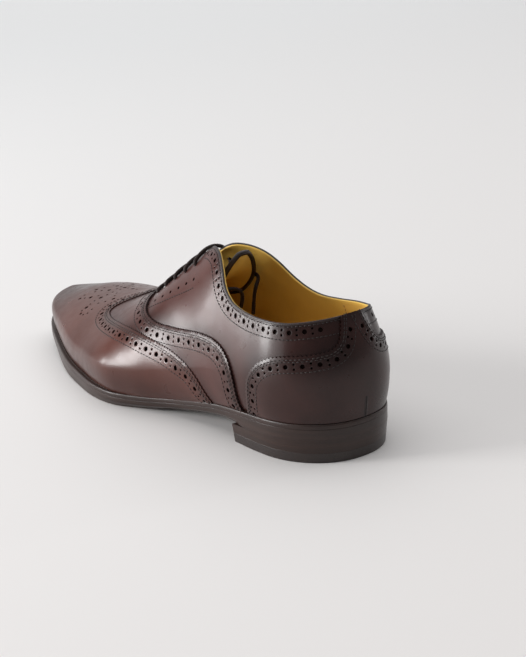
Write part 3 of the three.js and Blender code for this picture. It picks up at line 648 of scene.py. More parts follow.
def panel(name, outline, holes, outer, rim_to, material, spacing=2.0, crown=0.12, **options):
    """A leather panel: its outline, round holes as (turn, v, radius), a cut edge down to a lower level."""
    scale = np.array([PLANE_TURN, PLANE_V])
    loops = [outline * scale]
    guides = []
    reach = []
    for turn, v, radius in holes:
        count = 14 if radius > 1 else 9
        loops.append(ring_at(turn, v, radius, count) * scale)
        guides.append(ring_at(turn, v, radius + 0.6, count, 0.5) * scale)
        reach.append(np.linalg.norm(guides[-1] - np.array([turn, v]) * scale, axis=1).max())
    low, high = loops[0].min(0), loops[0].max(0)
    rows = np.arange(low[1] - spacing, high[1] + spacing, spacing * 0.866)
    grid = np.vstack([
        np.stack([np.arange(low[0] - spacing, high[0] + spacing, spacing) + (i % 2) * spacing / 2,
                  np.full(len(np.arange(low[0] - spacing, high[0] + spacing, spacing)), y)], axis=1)
        for i, y in enumerate(rows)])
    grid = grid[inside(grid, loops[0])]
    border = np.vstack(loops + guides)
    tree = KDTree(len(border))
    for i, p in enumerate(border):
        tree.insert((p[0], p[1], 0), i)
    tree.balance()
    hole_tree = KDTree(max(1, len(holes)))
    for i, (turn, v, _) in enumerate(holes):
        hole_tree.insert((turn * PLANE_TURN, v * PLANE_V, 0), i)
    hole_tree.balance()
    keep = []
    for x, y in grid:
        if tree.find((x, y, 0))[2] < 0.5 * spacing:
            continue
        if holes:
            _, i, distance = hole_tree.find((x, y, 0))
            if distance < reach[i] + 0.25:
                continue
        keep.append((x, y))
    guide_points = np.vstack(guides) if guides else np.zeros((0, 2))
    if len(guide_points):
        guide_points = guide_points[inside(guide_points, loops[0])]
    flat = np.vstack(loops + [guide_points, np.array(keep)])
    edges = []
    first = 0
    for loop in loops:
        count = len(loop)
        edges += [(first + k, first + (k + 1) % count) for k in range(count)]
        first += count
    result = delaunay_2d_cdt([Vector(p) for p in flat], edges, [], 0, 1e-5)
    plane = np.array([tuple(p) for p in result[0]])
    triangles = np.array([f for f in result[2] if len(f) == 3])
    middle = plane[triangles].mean(1)
    kept = inside(middle, loops[0])
    for loop, size, (turn, v, _) in zip(loops[1:], reach, holes):
        near = np.flatnonzero(np.linalg.norm(middle - np.array([turn, v]) * scale, axis=1) < size)
        kept[near[inside(middle[near], loop)]] = False
    triangles = triangles[kept]
    used = np.unique(triangles)
    index = np.full(len(plane), -1)
    index[used] = np.arange(len(used))
    triangles = index[triangles]
    place = plane[used] / scale
    on_edge = {}
    for tri in triangles:
        for a, b in ((tri[0], tri[1]), (tri[1], tri[2]), (tri[2], tri[0])):
            if (b, a) in on_edge:
                del on_edge[(b, a)]
            else:
                on_edge[(a, b)] = True
    rim = list(on_edge)
    border_points = np.unique(np.array(rim).ravel())
    base = last_point(place[:, 0], place[:, 1])
    normals = last_normal(place[:, 0], place[:, 1])
    height = np.full(len(place), float(outer))
    height[border_points] -= crown
    points = base + normals * height[:, None]
    outward = np.zeros_like(points)
    for a, b in rim:
        side = np.cross(points[b] - points[a], normals[a])
        outward[a] += side
        outward[b] += side
    outward = unit(outward)
    top_normals = normals.copy()
    top_normals[border_points] = unit(normals[border_points] + 0.2 * outward[border_points])
    parts = Parts()
    # Burnish and painted shade over the panel's face.
    dark = burnish_and_shade_at(points)
    parts.add(points, triangles, top_normals, dark)
    if rim_to is not None:
        where = {p: i for i, p in enumerate(border_points)}
        low_points = base[border_points] + normals[border_points] * rim_to
        both = np.vstack([points[border_points], low_points])
        side_normals = np.vstack([outward[border_points]] * 2)
        n = len(border_points)
        faces = [(where[b], where[a], where[a] + n, where[b] + n) for a, b in rim]
        parts.add(both, faces, side_normals, np.full(2 * n, 0.9))
    return parts.build(name, material, **options)


def holes_along(curve, pitch, radius, pair_radius=None, start=0.0, end=0.0, pair_gap=2.6):
    """Big holes along a curve, with a pair of small ones across it between each two."""
    centres = spaced(curve, pitch, start, end)
    holes = [(t, v, radius) for t, v in centres]
    if pair_radius:
        fine = spaced(curve, pitch, start, end, 2)[1::2]
        if len(fine) > 1:
            for side in (-0.5, 0.5):
                holes += [(t, v, pair_radius) for t, v in beside(fine, side * pair_gap)]
    return holes


# Stitches

def pill(length, radius, rings=5, sides=6):
    """Points and faces of a small rounded stitch along X."""
    points = []
    for i in range(rings + 1):
        angle = math.pi * i / rings
        x = -math.cos(angle) * length / 2
        r = radius * math.sin(angle) ** 0.6 if 0 < i < rings else radius * 0.05
        for k in range(sides):
            turn = 2 * math.pi * k / sides
            points.append((x, r * math.cos(turn), r * math.sin(turn)))
    faces = grid_faces(rings + 1, sides, closed=True)
    return np.array(points), faces


def stitches(name, rows, material, pitch=2.2, length=1.7, radius=0.27, slot=None):
    """Stitches along curves of (turn, v), each row at its own height over the last."""
    shape, faces = pill(length, radius)
    parts = Parts()
    for curve, height in rows:
        centres = spaced(curve, pitch)
        points, along, left, normals = frames_along(centres)
        points = points + normals * height
        tilt = unit(along + 0.06 * normals)
        side = unit(np.cross(normals, tilt))
        up = np.cross(tilt, side)
        for p, a, b, c in zip(points, tilt, side, up):
            turned = shape @ np.stack([a, b, c])
            parts.add(turned + p, faces, unit(turned - (shape[:, :1] * 0.8) @ a[None]))
    return parts.build(name, material, slot=slot)


# Cords

def smooth_curve(points, step):
    """Points evenly spaced on a centripetal curve through the given ones."""
    p = np.asarray(points, float)
    p = np.vstack([2 * p[0] - p[1], p, 2 * p[-1] - p[-2]])
    result = []
    for i in range(1, len(p) - 2):
        p0, p1, p2, p3 = p[i - 1:i + 3]
        t0 = 0.0
        t1 = t0 + max(np.linalg.norm(p1 - p0), 1e-6) ** 0.5
        t2 = t1 + max(np.linalg.norm(p2 - p1), 1e-6) ** 0.5
        t3 = t2 + max(np.linalg.norm(p3 - p2), 1e-6) ** 0.5
        for t in np.linspace(t1, t2, 12, endpoint=i == len(p) - 3):
            a1 = (t1 - t) / (t1 - t0) * p0 + (t - t0) / (t1 - t0) * p1
            a2 = (t2 - t) / (t2 - t1) * p1 + (t - t1) / (t2 - t1) * p2
            a3 = (t3 - t) / (t3 - t2) * p2 + (t - t2) / (t3 - t2) * p3
            b1 = (t2 - t) / (t2 - t0) * a1 + (t - t0) / (t2 - t0) * a2
            b2 = (t3 - t) / (t3 - t1) * a2 + (t - t1) / (t3 - t1) * a3
            result.append((t2 - t) / (t2 - t1) * b1 + (t - t1) / (t2 - t1) * b2)
    line = np.array(result)
    run = lengths_of(line)
    count = max(3, int(round(run[-1] / step)))
    at = np.linspace(0, run[-1], count + 1)
    return np.stack([np.interp(at, run, line[:, k]) for k in range(3)], axis=1)


LACE_SIDES = 16
BRAID_PITCH = 3.4
BRAID_DEPTH = 0.05


def cord_mesh(points, diameter, parts, step=0.42, braid=BRAID_DEPTH):
    """Adds a braided round cord along a curve, with domed ends."""
    line = smooth_curve(points, step)
    along = unit(np.gradient(line, axis=0))
    reference = np.array([0.0, 0.0, 1.0]) if abs(along[0][2]) < 0.9 else np.array([1.0, 0.0, 0.0])
    across = unit(np.cross(along[0], reference))
    run = lengths_of(line)
    angles = 2 * np.pi * np.arange(LACE_SIDES) / LACE_SIDES
    rings = []
    for i, centre in enumerate(line):
        across = unit(across - along[i] * across.dot(along[i]))
        other = np.cross(along[i], across)
        phase = 2 * np.pi * run[i] / BRAID_PITCH
        weave = np.cos(4 * angles + phase) * np.cos(4 * angles - phase)
        end = min(run[i], run[-1] - run[i]) / (0.35 * diameter)
        dome = math.sqrt(max(0.0, 1 - (1 - min(1.0, end)) ** 2)) * 0.999 + 0.001
        radius = diameter / 2 * (1 - braid + braid * weave) * dome
        rings.append(centre + radius[:, None] * (np.cos(angles)[:, None] * across
                                               + np.sin(angles)[:, None] * other))
    rings = np.array(rings)
    normals = unit(rings - line[:, None, :] + 1e-9)
    faces = grid_faces(len(line), LACE_SIDES, closed=True)
    first = list(range(LACE_SIDES))[::-1]
    final = [(len(line) - 1) * LACE_SIDES + k for k in range(LACE_SIDES)]
    parts.add(rings, faces + [first, final], normals)
    return line


# Materials

def shader(name, roughness, coat=0.0, coat_roughness=0.1, specular=0.5, sheen=0.0):
    """A principled material with its uniform values set on the shader."""
    material = bpy.data.materials.new(name)
    material.use_nodes = True
    bsdf = material.node_tree.nodes["Principled BSDF"]
    bsdf.inputs["Roughness"].default_value = roughness
    bsdf.inputs["Coat Weight"].default_value = coat
    bsdf.inputs["Coat Roughness"].default_value = coat_roughness
    bsdf.inputs["Specular IOR Level"].default_value = specular
    bsdf.inputs["Sheen Weight"].default_value = sheen
    return material, bsdf, material.node_tree


def noise(tree, scale, detail=3.0, stretch=(1, 1, 1)):
    """Noise in the object's own space, by its scale per metre."""
    coordinates = tree.nodes.new("ShaderNodeTexCoord")
    mapping = tree.nodes.new("ShaderNodeMapping")
    mapping.inputs["Scale"].default_value = stretch
    texture = tree.nodes.new("ShaderNodeTexNoise")
    texture.inputs["Scale"].default_value = scale
    texture.inputs["Detail"].default_value = detail
    tree.links.new(coordinates.outputs["Object"], mapping.inputs["Vector"])
    tree.links.new(mapping.outputs["Vector"], texture.inputs["Vector"])
    return texture.outputs["Fac"]


def spread(tree, value, low, high, to_low=0.0, to_high=1.0):
    node = tree.nodes.new("ShaderNodeMapRange")
    node.inputs["From Min"].default_value = low
    node.inputs["From Max"].default_value = high
    node.inputs["To Min"].default_value = to_low
    node.inputs["To Max"].default_value = to_high
    tree.links.new(value, node.inputs["Value"])
    return node.outputs["Result"]


def mix(tree, factor, a, b):
    """Colour between two colours or sockets by a factor socket."""
    node = tree.nodes.new("ShaderNodeMix")
    node.data_type = "RGBA"
    tree.links.new(factor, node.inputs["Factor"])
    for socket, value in (("A", a), ("B", b)):
        target = [s for s in node.inputs if s.name == socket and s.type == "RGBA"][0]
        if isinstance(value, tuple):
            target.default_value = (*value, 1)
        else:
            tree.links.new(value, target)
    return [s for s in node.outputs if s.type == "RGBA"][0]


def bump(tree, bsdf, heights, distance, strength):
    """Adds several height sockets up, each with its weight, as one bump."""
    total = None
    for height, weight in heights:
        scaled = tree.nodes.new("ShaderNodeMath")
        scaled.operation = "MULTIPLY"
        scaled.inputs[1].default_value = weight
        tree.links.new(height, scaled.inputs[0])
        if total is None:
            total = scaled.outputs[0]
            continue
        added = tree.nodes.new("ShaderNodeMath")
        added.operation = "ADD"
        tree.links.new(total, added.inputs[0])
        tree.links.new(scaled.outputs[0], added.inputs[1])
        total = added.outputs[0]
    node = tree.nodes.new("ShaderNodeBump")
    node.inputs["Strength"].default_value = strength
    node.inputs["Distance"].default_value = distance
    tree.links.new(total, node.inputs["Height"])
    tree.links.new(node.outputs["Normal"], bsdf.inputs["Normal"])


def pores(tree, scale):
    coordinates = tree.nodes.new("ShaderNodeTexCoord")
    cells = tree.nodes.new("ShaderNodeTexVoronoi")
    cells.inputs["Scale"].default_value = scale
    tree.links.new(coordinates.outputs["Object"], cells.inputs["Vector"])
    return cells.outputs["Distance"]


def calf(name, light, dark, roughness=0.31, coat=0.25):
    """Polished calf leather: dyed patches, darkening from a mesh attribute that holds burnish at the edges,
    seams, heel and toe and painted shade at the heel and low on the waist, fine grain.
    """
    material, bsdf, tree = shader(name, roughness, coat, 0.20, 0.23)
    # The attribute read here carries burnish and painted shade.
    burnish_shade_node = tree.nodes.new("ShaderNodeAttribute")
    burnish_shade_node.attribute_name = "burnish_and_shade"
    cloud = spread(tree, noise(tree, 38, 4), 0.3, 0.7)
    patch = tree.nodes.new("ShaderNodeMath")
    patch.operation = "MULTIPLY_ADD"
    patch.inputs[1].default_value = 0.30
    tree.links.new(cloud, patch.inputs[0])
    tree.links.new(burnish_shade_node.outputs["Fac"], patch.inputs[2])
    factor = spread(tree, patch.outputs[0], 0.0, 1.15)
    tree.links.new(mix(tree, factor, light, dark), bsdf.inputs["Base Color"])
    rough = spread(tree, noise(tree, 160, 3), 0.3, 0.7, roughness - 0.04, roughness + 0.07)
    tree.links.new(rough, bsdf.inputs["Roughness"])
    bump(tree, bsdf, [(noise(tree, 1400, 2), 0.5), (pores(tree, 1900), 0.35), (noise(tree, 230, 2), 0.5)],
         0.0004, 0.10)
    return material


def plain_leather(name, light, dark, roughness, coat=0.0, grain=0.3, cloud_scale=60, specular=0.5):
    material, bsdf, tree = shader(name, roughness, coat, 0.2, specular)
    cloud = spread(tree, noise(tree, cloud_scale, 5), 0.3, 0.7)
    tree.links.new(mix(tree, cloud, light, dark), bsdf.inputs["Base Color"])
    bump(tree, bsdf, [(noise(tree, 1100, 3), 0.6), (pores(tree, 1500), 0.5)], 0.0004, grain)
    return material


def lace_material(name, light, dark):
    """Waxed cotton with strands that show between the braid."""
    material, bsdf, tree = shader(name, 0.5, 0.0, 0.2, 0.22, 0.05)
    strand = spread(tree, noise(tree, 2600, 2), 0.35, 0.65)
    tree.links.new(mix(tree, strand, light, dark), bsdf.inputs["Base Color"])
    bump(tree, bsdf, [(noise(tree, 2600, 2), 1.0)], 0.0003, 0.35)
    return material


def stacked(name, light, dark, roughness, layer):
    """Pressed leather layers, stained dark, with fine level lines."""
    material, bsdf, tree = shader(name, roughness, 0.18, 0.24, 0.34)
    lines = spread(tree, noise(tree, 300, 3, (0.05, 0.05, 1.0)), 0.35, 0.65)
    tree.links.new(mix(tree, lines, light, dark), bsdf.inputs["Base Color"])
    bump(tree, bsdf, [(noise(tree, 300, 3, (0.05, 0.05, layer)), 1.0), (noise(tree, 1500, 2), 0.3)],
         0.0004, 0.25)
    return material


QUARTER_LIGHT = (0.090, 0.032, 0.026)
WING_LIGHT = (0.108, 0.036, 0.026)
CALF_DARK = (0.0130, 0.0048, 0.0042)
LINING_LIGHT = (0.86, 0.56, 0.115)
LINING_DARK = (0.74, 0.46, 0.08)

quarter_calf = calf("quarter_calf", QUARTER_LIGHT, CALF_DARK)
vamp_calf = calf("vamp_calf", QUARTER_LIGHT, CALF_DARK)
wing_calf = calf("wing_calf", WING_LIGHT, CALF_DARK)
counter_calf = calf("counter_calf", QUARTER_LIGHT, CALF_DARK)
edge_calf = plain_leather("edge_calf", (0.022, 0.010, 0.009), (0.013, 0.006, 0.0055), 0.42, 0.08)
lining_calf = plain_leather("lining_calf", LINING_LIGHT, LINING_DARK, 0.62, 0.0, 0.22, 45)
heel_lining_calf = plain_leather("heel_lining_calf", (0.80, 0.49, 0.10), (0.68, 0.40, 0.07), 0.62,
                                 0.0, 0.22, 45)
sock_calf = plain_leather("sock_calf", (0.46, 0.28, 0.06), (0.38, 0.22, 0.045), 0.6, 0.0, 0.22, 45)
# Near-black matt sheet seen only through holes and the back seam: painted shade.
painted_shade_dark = plain_leather("painted_shade_dark", (0.010, 0.005, 0.004), (0.006, 0.003, 0.003), 0.9, specular=0.04)
welt_leather = plain_leather("welt_leather", (0.034, 0.016, 0.012), (0.021, 0.010, 0.008), 0.40, 0.15, 0.4,
                             specular=0.34)
sole_edge = stacked("sole_edge", (0.034, 0.0165, 0.012), (0.022, 0.011, 0.0085), 0.34, 1.0)
heel_leather = stacked("heel_leather", (0.034, 0.0165, 0.012), (0.022, 0.011, 0.0085), 0.34, 1.0)
heel_rubber = plain_leather("heel_rubber", (0.024, 0.014, 0.0115), (0.017, 0.010, 0.009), 0.42, 0.15, 0.4)
thread = plain_leather("thread", (0.018, 0.009, 0.0075), (0.012, 0.006, 0.005), 0.5, 0.0, 0.2, 900)
welt_thread = plain_leather("welt_thread", (0.050, 0.029, 0.021), (0.036, 0.021, 0.016), 0.6, 0.0, 0.2, 900)
lining_thread = plain_leather("lining_thread", (0.42, 0.25, 0.06), (0.34, 0.20, 0.05), 0.6, 0.0, 0.2, 900)
lace_cotton = lace_material("lace_cotton", (0.026, 0.013, 0.011), (0.012, 0.0065, 0.0055))


# Camera

def place_camera():
    azimuth, elevation, roll = (math.radians(a) for a in (CAMERA_AZIMUTH, CAMERA_ELEVATION, CAMERA_ROLL))
    back = Vector((math.sin(azimuth) * math.cos(elevation), -math.cos(azimuth) * math.cos(elevation),
                   math.sin(elevation)))
    right = (-back).cross(Vector((0, 0, 1))).normalized()
    up = right.cross(-back)
    turned = right * math.cos(roll) + up * math.sin(roll)
    raised = up * math.cos(roll) - right * math.sin(roll)
    camera = bpy.data.objects.new("camera", bpy.data.cameras.new("camera"))
    camera.data.sensor_fit = "HORIZONTAL"
    camera.data.sensor_width = SENSOR_WIDTH
    camera.data.lens = CAMERA_FOCAL_PIXELS / IMAGE_WIDTH * SENSOR_WIDTH
    camera.data.clip_start = 0.02
    camera.data.clip_end = 60
    matrix = Matrix((turned, raised, back)).transposed().to_4x4()
    matrix.translation = Vector(CAMERA_AIM) + back * CAMERA_DISTANCE
    camera.matrix_world = matrix
    bpy.context.scene.collection.objects.link(camera)
    bpy.context.scene.camera = camera


place_camera()


# Laces

def bar_points(row):
    """A lace bar over the throat, its ends carried down through the eyelets to the inside."""
    turn = turn_of(EYELET_STATIONS[row])
    route = list(BAR_ROUTE) + [(1.005, -0.55), (1.0, -1.15), (0.985, -1.55)]
    halves = {}
    for side in (-1, 1):
        points = [off_last(side * turn, 1 - across * (1 - EYELET_V),
                           LACE_CLEARANCE + height * LACE_DIAMETER) for across, height in route]
        halves[side] = points
    return halves[-1][::-1] + halves[1][1:]


def inner_run(row, side):
    """A lace run under one facing, from an eyelet to the next one down."""
    points = []
    first, second = EYELET_STATIONS[row], EYELET_STATIONS[row + 1]
    for share in np.linspace(0, 1, 7):
        station = first + (second - first) * share
        bow = math.sin(math.pi * share)
        points.append(off_last(side * turn_of(station), EYELET_V - 0.012 * bow, -3.45 - 0.1 * bow))
    return points


for side_name, route in LACE_ENDS.items():
    end_parts = Parts()
    line = cord_mesh(route, LACE_DIAMETER, end_parts)
    end_piece = end_parts.build(f"lace_end_{side_name}_braided", lace_cotton, slot="lace",
                                replaces=[f"lace_end_{side_name}"])

for row in range(len(EYELET_STATIONS)):
    bar_parts = Parts()
    cord_mesh(bar_points(row), LACE_DIAMETER, bar_parts)
    bar_parts.build(f"lace_bar_{row + 1}_braided", lace_cotton, slot="lace",
                    replaces=[f"lace_bar_{row + 1}"])
run_parts = Parts()
for row in range(len(EYELET_STATIONS) - 1):
    cord_mesh(inner_run(row, -1 if row % 2 == 0 else 1), LACE_DIAMETER, run_parts)
run_parts.build("lace_runs", lace_cotton, slot="lace")


# Seam lines

vamp_whole = eased(over_spine(edge_curve(VAMP_EDGE)), 30)
wing_whole = eased(over_spine(edge_curve(WING_EDGE)), 60)
counter_line = eased(edge_curve(COUNTER_EDGE, 0.0, 0.532), 6)
top_lateral = top_curve(-1, THROAT_FRONT)
top_medial = top_curve(1, THROAT_FRONT)
SEAM_TREE = build_seam_tree([
    spaced(c, 2.0) for c in (vamp_whole, wing_whole, counter_line, other_side(counter_line),
                              top_lateral, top_medial)])

VAMP_TOP = OVERLAY_GAP + VAMP_THICKNESS
WING_TOP = OVERLAY_GAP + WING_CAP_THICKNESS
COUNTER_TOP = OVERLAY_GAP + COUNTER_THICKNESS
BROGUE_PITCH = 9.2
WING_PITCH = 8.3
TOPLINE_PITCH = 8.2
BAND_INSET = 5.6


def to_heel(side, curve, distance):
    """A top-edge curve moved down from the edge: to the left on the lateral side, right on the medial."""
    return beside(curve, distance if side < 0 else -distance)


# Quarters

quarter_front = beside(spaced(vamp_whole, 1.5), 7.0)
quarter_front = quarter_front[:np.argmax(quarter_front[:, 1] >= 0.925)]
lateral_top = spaced(top_curve(-1, 0.592), 1.0)
medial_top = spaced(top_curve(1, 0.592), 1.0)
bottom_turn = -quarter_front[0, 0]
bottom = np.stack([np.linspace(bottom_turn, -bottom_turn, 260), np.zeros(260)], axis=1)
quarter_front[0, 1] = 0
quarter_outline = np.vstack([
    bottom,
    quarter_front[1:],
    lateral_top[::-1],
    medial_top[1:],
    other_side(quarter_front)[:0:-1],
])
quarter_holes = []
for side, top in ((-1, top_lateral), (1, top_medial)):
    rear = top[(station_of(top[:, 0]) > 0.006) & (station_of(top[:, 0]) < 0.362)]
    row = to_heel(side, spaced(rear, 1.5), 4.4)
    quarter_holes += holes_along(row, TOPLINE_PITCH, BIG_HOLE * 0.95, SMALL_HOLE, 8.0, 1.0)
    facing = np.stack([side * turn_of(np.linspace(0.368, 0.528, 80)),
                       np.linspace(0.745, 0.735, 80)], axis=1)
    quarter_holes += holes_along(facing, 7.6, 0.95)
    quarter_holes += [(side * turn_of(s), EYELET_V, EYELET_HOLE) for s in EYELET_STATIONS]
panel("quarters", quarter_outline, quarter_holes, 0.0, -0.9, quarter_calf,
      slot="upper_leather", replaces=["upper"])


def shade_band(name, curve, width, height, material, slot):
    """A strip under a row of holes, painted near black as the shade inside the holes."""
    line = spaced(curve, 3.0)
    rows = []
    for share in np.linspace(-0.5, 0.5, 5):
        moved = beside(line, share * width)
        rows.append(off_last(moved[:, 0], moved[:, 1], np.full(len(moved), height)))
    points = np.array(rows)
    faces = grid_faces(len(rows), len(line))
    normals = np.array([last_normal(line[:, 0], line[:, 1])] * len(rows))
    parts = Parts()
    parts.add(points, faces, normals, np.full(points.size // 3, 1.0))
    return parts.build(name, material, slot=slot)


# Near-black strips under the topline holes and the facing: painted shade seen through the holes.
for side, name, top in ((-1, "lateral", top_lateral), (1, "medial", top_medial)):
    rear = top[station_of(top[:, 0]) < 0.375]
    shade_band(f"hole_shade_topline_{name}", to_heel(side, spaced(rear, 2.0), 4.4), 7.6, -0.8, painted_shade_dark,
               "upper_leather")
    facing = np.stack([side * turn_of(np.linspace(0.352, 0.56, 80)), np.full(80, 0.79)], axis=1)
    shade_band(f"hole_shade_facing_{name}", facing, 24.0, -0.85, painted_shade_dark, "upper_leather")


# Lining

LINING_ROWS = 44
LINING_COLUMNS = 360


def lining():
    turns = np.linspace(-1, 1, LINING_COLUMNS + 1)
    station = station_of(turns)
    edge = look_up(TOP_EDGE, station)
    height = np.where(turns < 0, edge[:, 0], edge[:, 1])
    closed = smooth_step(station, THROAT_FRONT - 0.004, THROAT_FRONT + 0.004)
    height = height + (1 - height) * closed
    rows = []
    for share in np.linspace(0, 1, LINING_ROWS + 1):
        rows.append(off_last(turns, height * share, np.full(len(turns), -UPPER_WALL)))
    for depth, rise in ((-1.85, 0.16), (-1.55, 0.26), (-1.15, 0.2), (-1.0, -0.1)):
        rolled = off_last(turns, height, np.full(len(turns), depth))
        rolled[:, 2] += rise
        rows.append(rolled)
    points = np.array(rows)
    parts = Parts()
    parts.add(points, grid_faces(len(rows), len(turns), flip=True), grid_normals(points, flip=True))
    return parts.build("lining", lining_calf, slot="insole_leather")


lining()


# Rolled top edge

def rolled_edge(name, curve, material):
    """A folded edge that closes the wall between the outside and the lining."""
    line = spaced(curve, 1.2)
    points, along, left, normals = frames_along(line)
    up = left * (1 if np.mean(left[:, 2]) > 0 else -1)
    profile = [(0.06, -0.8), (0.10, -0.3), (0.04, 0.1), (-0.2, 0.36), (-0.6, 0.44), (-1.0, 0.34), (-1.2, 0.0)]
    rows = np.array([points + normals * out + up * rise for out, rise in profile])
    parts = Parts()
    middle = points - normals * 1.0 - up * 0.3
    normal = unit(rows - middle[None])
    parts.add(rows, grid_faces(len(profile), len(line)), normal, np.full(rows.size // 3, 1.0))
    return parts.build(name, material, slot="upper_leather")


top_whole = np.vstack([spaced(top_lateral, 1.0)[::-1], spaced(top_medial, 1.0)[1:]])
rolled_edge("topline_edge", top_whole, edge_calf)


# Vamp

vamp_back = pinked(vamp_whole[::-1])[::-1]
vamp_front = beside(spaced(wing_whole, 1.5), 3.0)
vamp_front[0, 1], vamp_front[-1, 1] = 0, 2


def bottom_run(turn_a, turn_b, level, count):
    """Points along the feather line between two turns, without its ends."""
    turns = np.linspace(turn_a, turn_b, count + 2)[1:-1]
    return np.stack([turns, np.full(count, float(level))], axis=1)


vamp_outline = np.vstack([
    vamp_back[::-1],
    bottom_run(vamp_back[0, 0], vamp_front[0, 0], 0, 24),
    vamp_front,
    bottom_run(vamp_front[-1, 0], vamp_back[-1, 0], 2, 24),
])
vamp_row = beside(spaced(vamp_whole, 1.5), BAND_INSET)
panel("vamp_panel", vamp_outline,
      holes_along(vamp_row, BROGUE_PITCH, BIG_HOLE, SMALL_HOLE, 6.0, 6.0),
      VAMP_TOP, 0.02, vamp_calf, slot="vamp_leather", replaces=["vamp"])
# Near-black strip under the vamp's holes: painted shade.
shade_band("hole_shade_vamp", vamp_row, 8.5, 0.3, painted_shade_dark, "vamp_leather")


# Wing cap

wing_back = pinked(wing_whole[::-1])[::-1]
toe_column = np.stack([np.full(60, -1.0), np.linspace(0, 1, 60)], axis=1)
wing_outline = np.vstack([
    wing_back[::-1],
    bottom_run(wing_back[0, 0], -1.0, 0, 190),
    toe_column,
    np.stack([toe_column[::-1][1:, 0], 2 - toe_column[::-1][1:, 1]], axis=1),
    bottom_run(-1.0, wing_back[-1, 0], 2, 190),
])
wing_row = beside(spaced(wing_whole, 1.5), BAND_INSET)
wing_holes = holes_along(wing_row, WING_PITCH, BIG_HOLE, SMALL_HOLE, 6.0, 6.0)

# Toe medallion: across, along and radius in millimetres, from its middle towards the toe
MEDALLION_STATION = 0.775
MEDALLION = [
    (0, 0, 1.3), (0, 5, 0.7), (0, -5, 0.7), (4.2, 2.4, 0.7), (4.2, -2.4, 0.7),
    (8, 5.5, 1.2), (10.7, 11, 0.7), (10.7, 18.5, 1.2), (6.5, 15.5, 0.7), (13.5, 14.5, 0.7),
    (0, 10.5, 1.2), (0, 16, 0.7), (0, -11, 1.2), (0, -16.5, 0.7),
    (9.5, -2.5, 0.7), (14, -3.5, 0.7), (18.4, -3, 1.3), (17, 3, 0.7), (20.5, 7.5, 1.3),
    (22.5, 12.5, 0.7), (24, 17, 1.1), (19.5, 18.5, 0.7),
    (23, -2.5, 0.7), (27, -3.5, 0.7), (31, -4.5, 1.3), (35, -4, 0.7), (38, -6.5, 1.0),
    (38.5, -10.5, 0.7), (36, -13.5, 0.7), (31.5, -13, 0.7),
    (10, -9, 0.7), (13.5, -13, 0.7), (17, -18, 1.2), (21.5, -15, 0.7), (24.5, -10.5, 0.7),
]


def medallion():
    """Holes of the toe's ornament, mirrored about the spine."""
    turn = np.array([-turn_of(MEDALLION_STATION)])
    height = np.array([1.0])
    step = 0.002
    along = unit(last_point(turn - step, height) - last_point(turn + step, height))
    normal = last_normal(turn, height)
    across = np.cross(along, normal)
    holes = []
    for x, y, radius in MEDALLION:
        for side in ((1, -1) if x else (1,)):
            target = last_point(turn, height) + side * x * across + y * along
            place = reach_for(turn, height, target, 60)
            holes.append((float(place[0][0]), float(place[1][0]), radius))
    return holes


panel("wing_panel", wing_outline, wing_holes + medallion(), WING_TOP, 0.3, wing_calf,
      slot="wing_leather", replaces=["wing_cap"])
# Near-black strips under the wing's holes and the medallion: painted shade.
shade_band("hole_shade_wing", wing_row, 8.5, 0.6, painted_shade_dark, "wing_leather")
toe_strip = np.stack([np.full(80, -turn_of(MEDALLION_STATION)), np.linspace(0.47, 1.53, 80)], axis=1)
shade_band("hole_shade_medallion", toe_strip, 46.0, 0.8, painted_shade_dark, "wing_leather")


# Heel counter

counter_edge = pinked(counter_line)
counter_outline = np.vstack([
    np.stack([np.linspace(-counter_edge[0, 0], counter_edge[0, 0], 110)[:-1], np.zeros(109)], axis=1),
    counter_edge,
    other_side(counter_edge)[::-1][:-1],
])
counter_row = beside(spaced(counter_line, 1.5), -4.6)
counter_holes = holes_along(counter_row, 8.8, BIG_HOLE * 0.92, SMALL_HOLE, 5.0, 7.0, 2.4)
counter_holes += [(-t, v, r) for t, v, r in counter_holes]
panel("counter_panel", counter_outline, counter_holes, COUNTER_TOP, 0.02, counter_calf,
      slot="counter_leather", replaces=["heel_counter"])
# Near-black strips under the counter's holes: painted shade.
shade_band("hole_shade_counter_lateral", counter_row, 8.0, 0.3, painted_shade_dark, "counter_leather")
shade_band("hole_shade_counter_medial", other_side(counter_row), 8.0, 0.3, painted_shade_dark, "counter_leather")


# Stitching

def inset_rows(curve, distances, height):
    return [(beside(spaced(curve, 1.5), d), height) for d in distances]


closed_rows = []
for side, top in ((-1, top_lateral), (1, top_medial)):
    rear = top[station_of(top[:, 0]) > 0.003]
    closed_rows += [(to_heel(side, spaced(rear, 1.5), 1.5), 0.05)]
    band = top[(station_of(top[:, 0]) > 0.003) & (station_of(top[:, 0]) < 0.355)]
    closed_rows += [(to_heel(side, spaced(band, 1.5), 8.0), 0.05)]
    facing = np.stack([side * turn_of(np.linspace(0.36, 0.55, 80)), np.full(80, 0.70)], axis=1)
    closed_rows += [(facing, 0.05)]
stitches("stitches_quarters", closed_rows, thread, slot="upper_leather")
BAND_ROWS = (1.3, 2.5, 9.0)
stitches("stitches_vamp", inset_rows(vamp_whole, BAND_ROWS, VAMP_TOP + 0.03), thread, slot="vamp_leather")
stitches("stitches_wing", inset_rows(wing_whole, BAND_ROWS, WING_TOP + 0.03), thread, slot="wing_leather")
counter_rows = []
for curve, sign in ((counter_line, 1), (other_side(counter_line), -1)):
    for distance in (-1.2, -2.3, -7.6):
        moved = beside(spaced(curve, 1.5), sign * distance)
        counter_rows.append((moved, COUNTER_TOP + 0.03))
stitches("stitches_counter", counter_rows, thread, slot="counter_leather")


# Back seam and heel lining

BACK_SEAM_TOP = 0.17
HEEL_LINING_TURN = 0.25


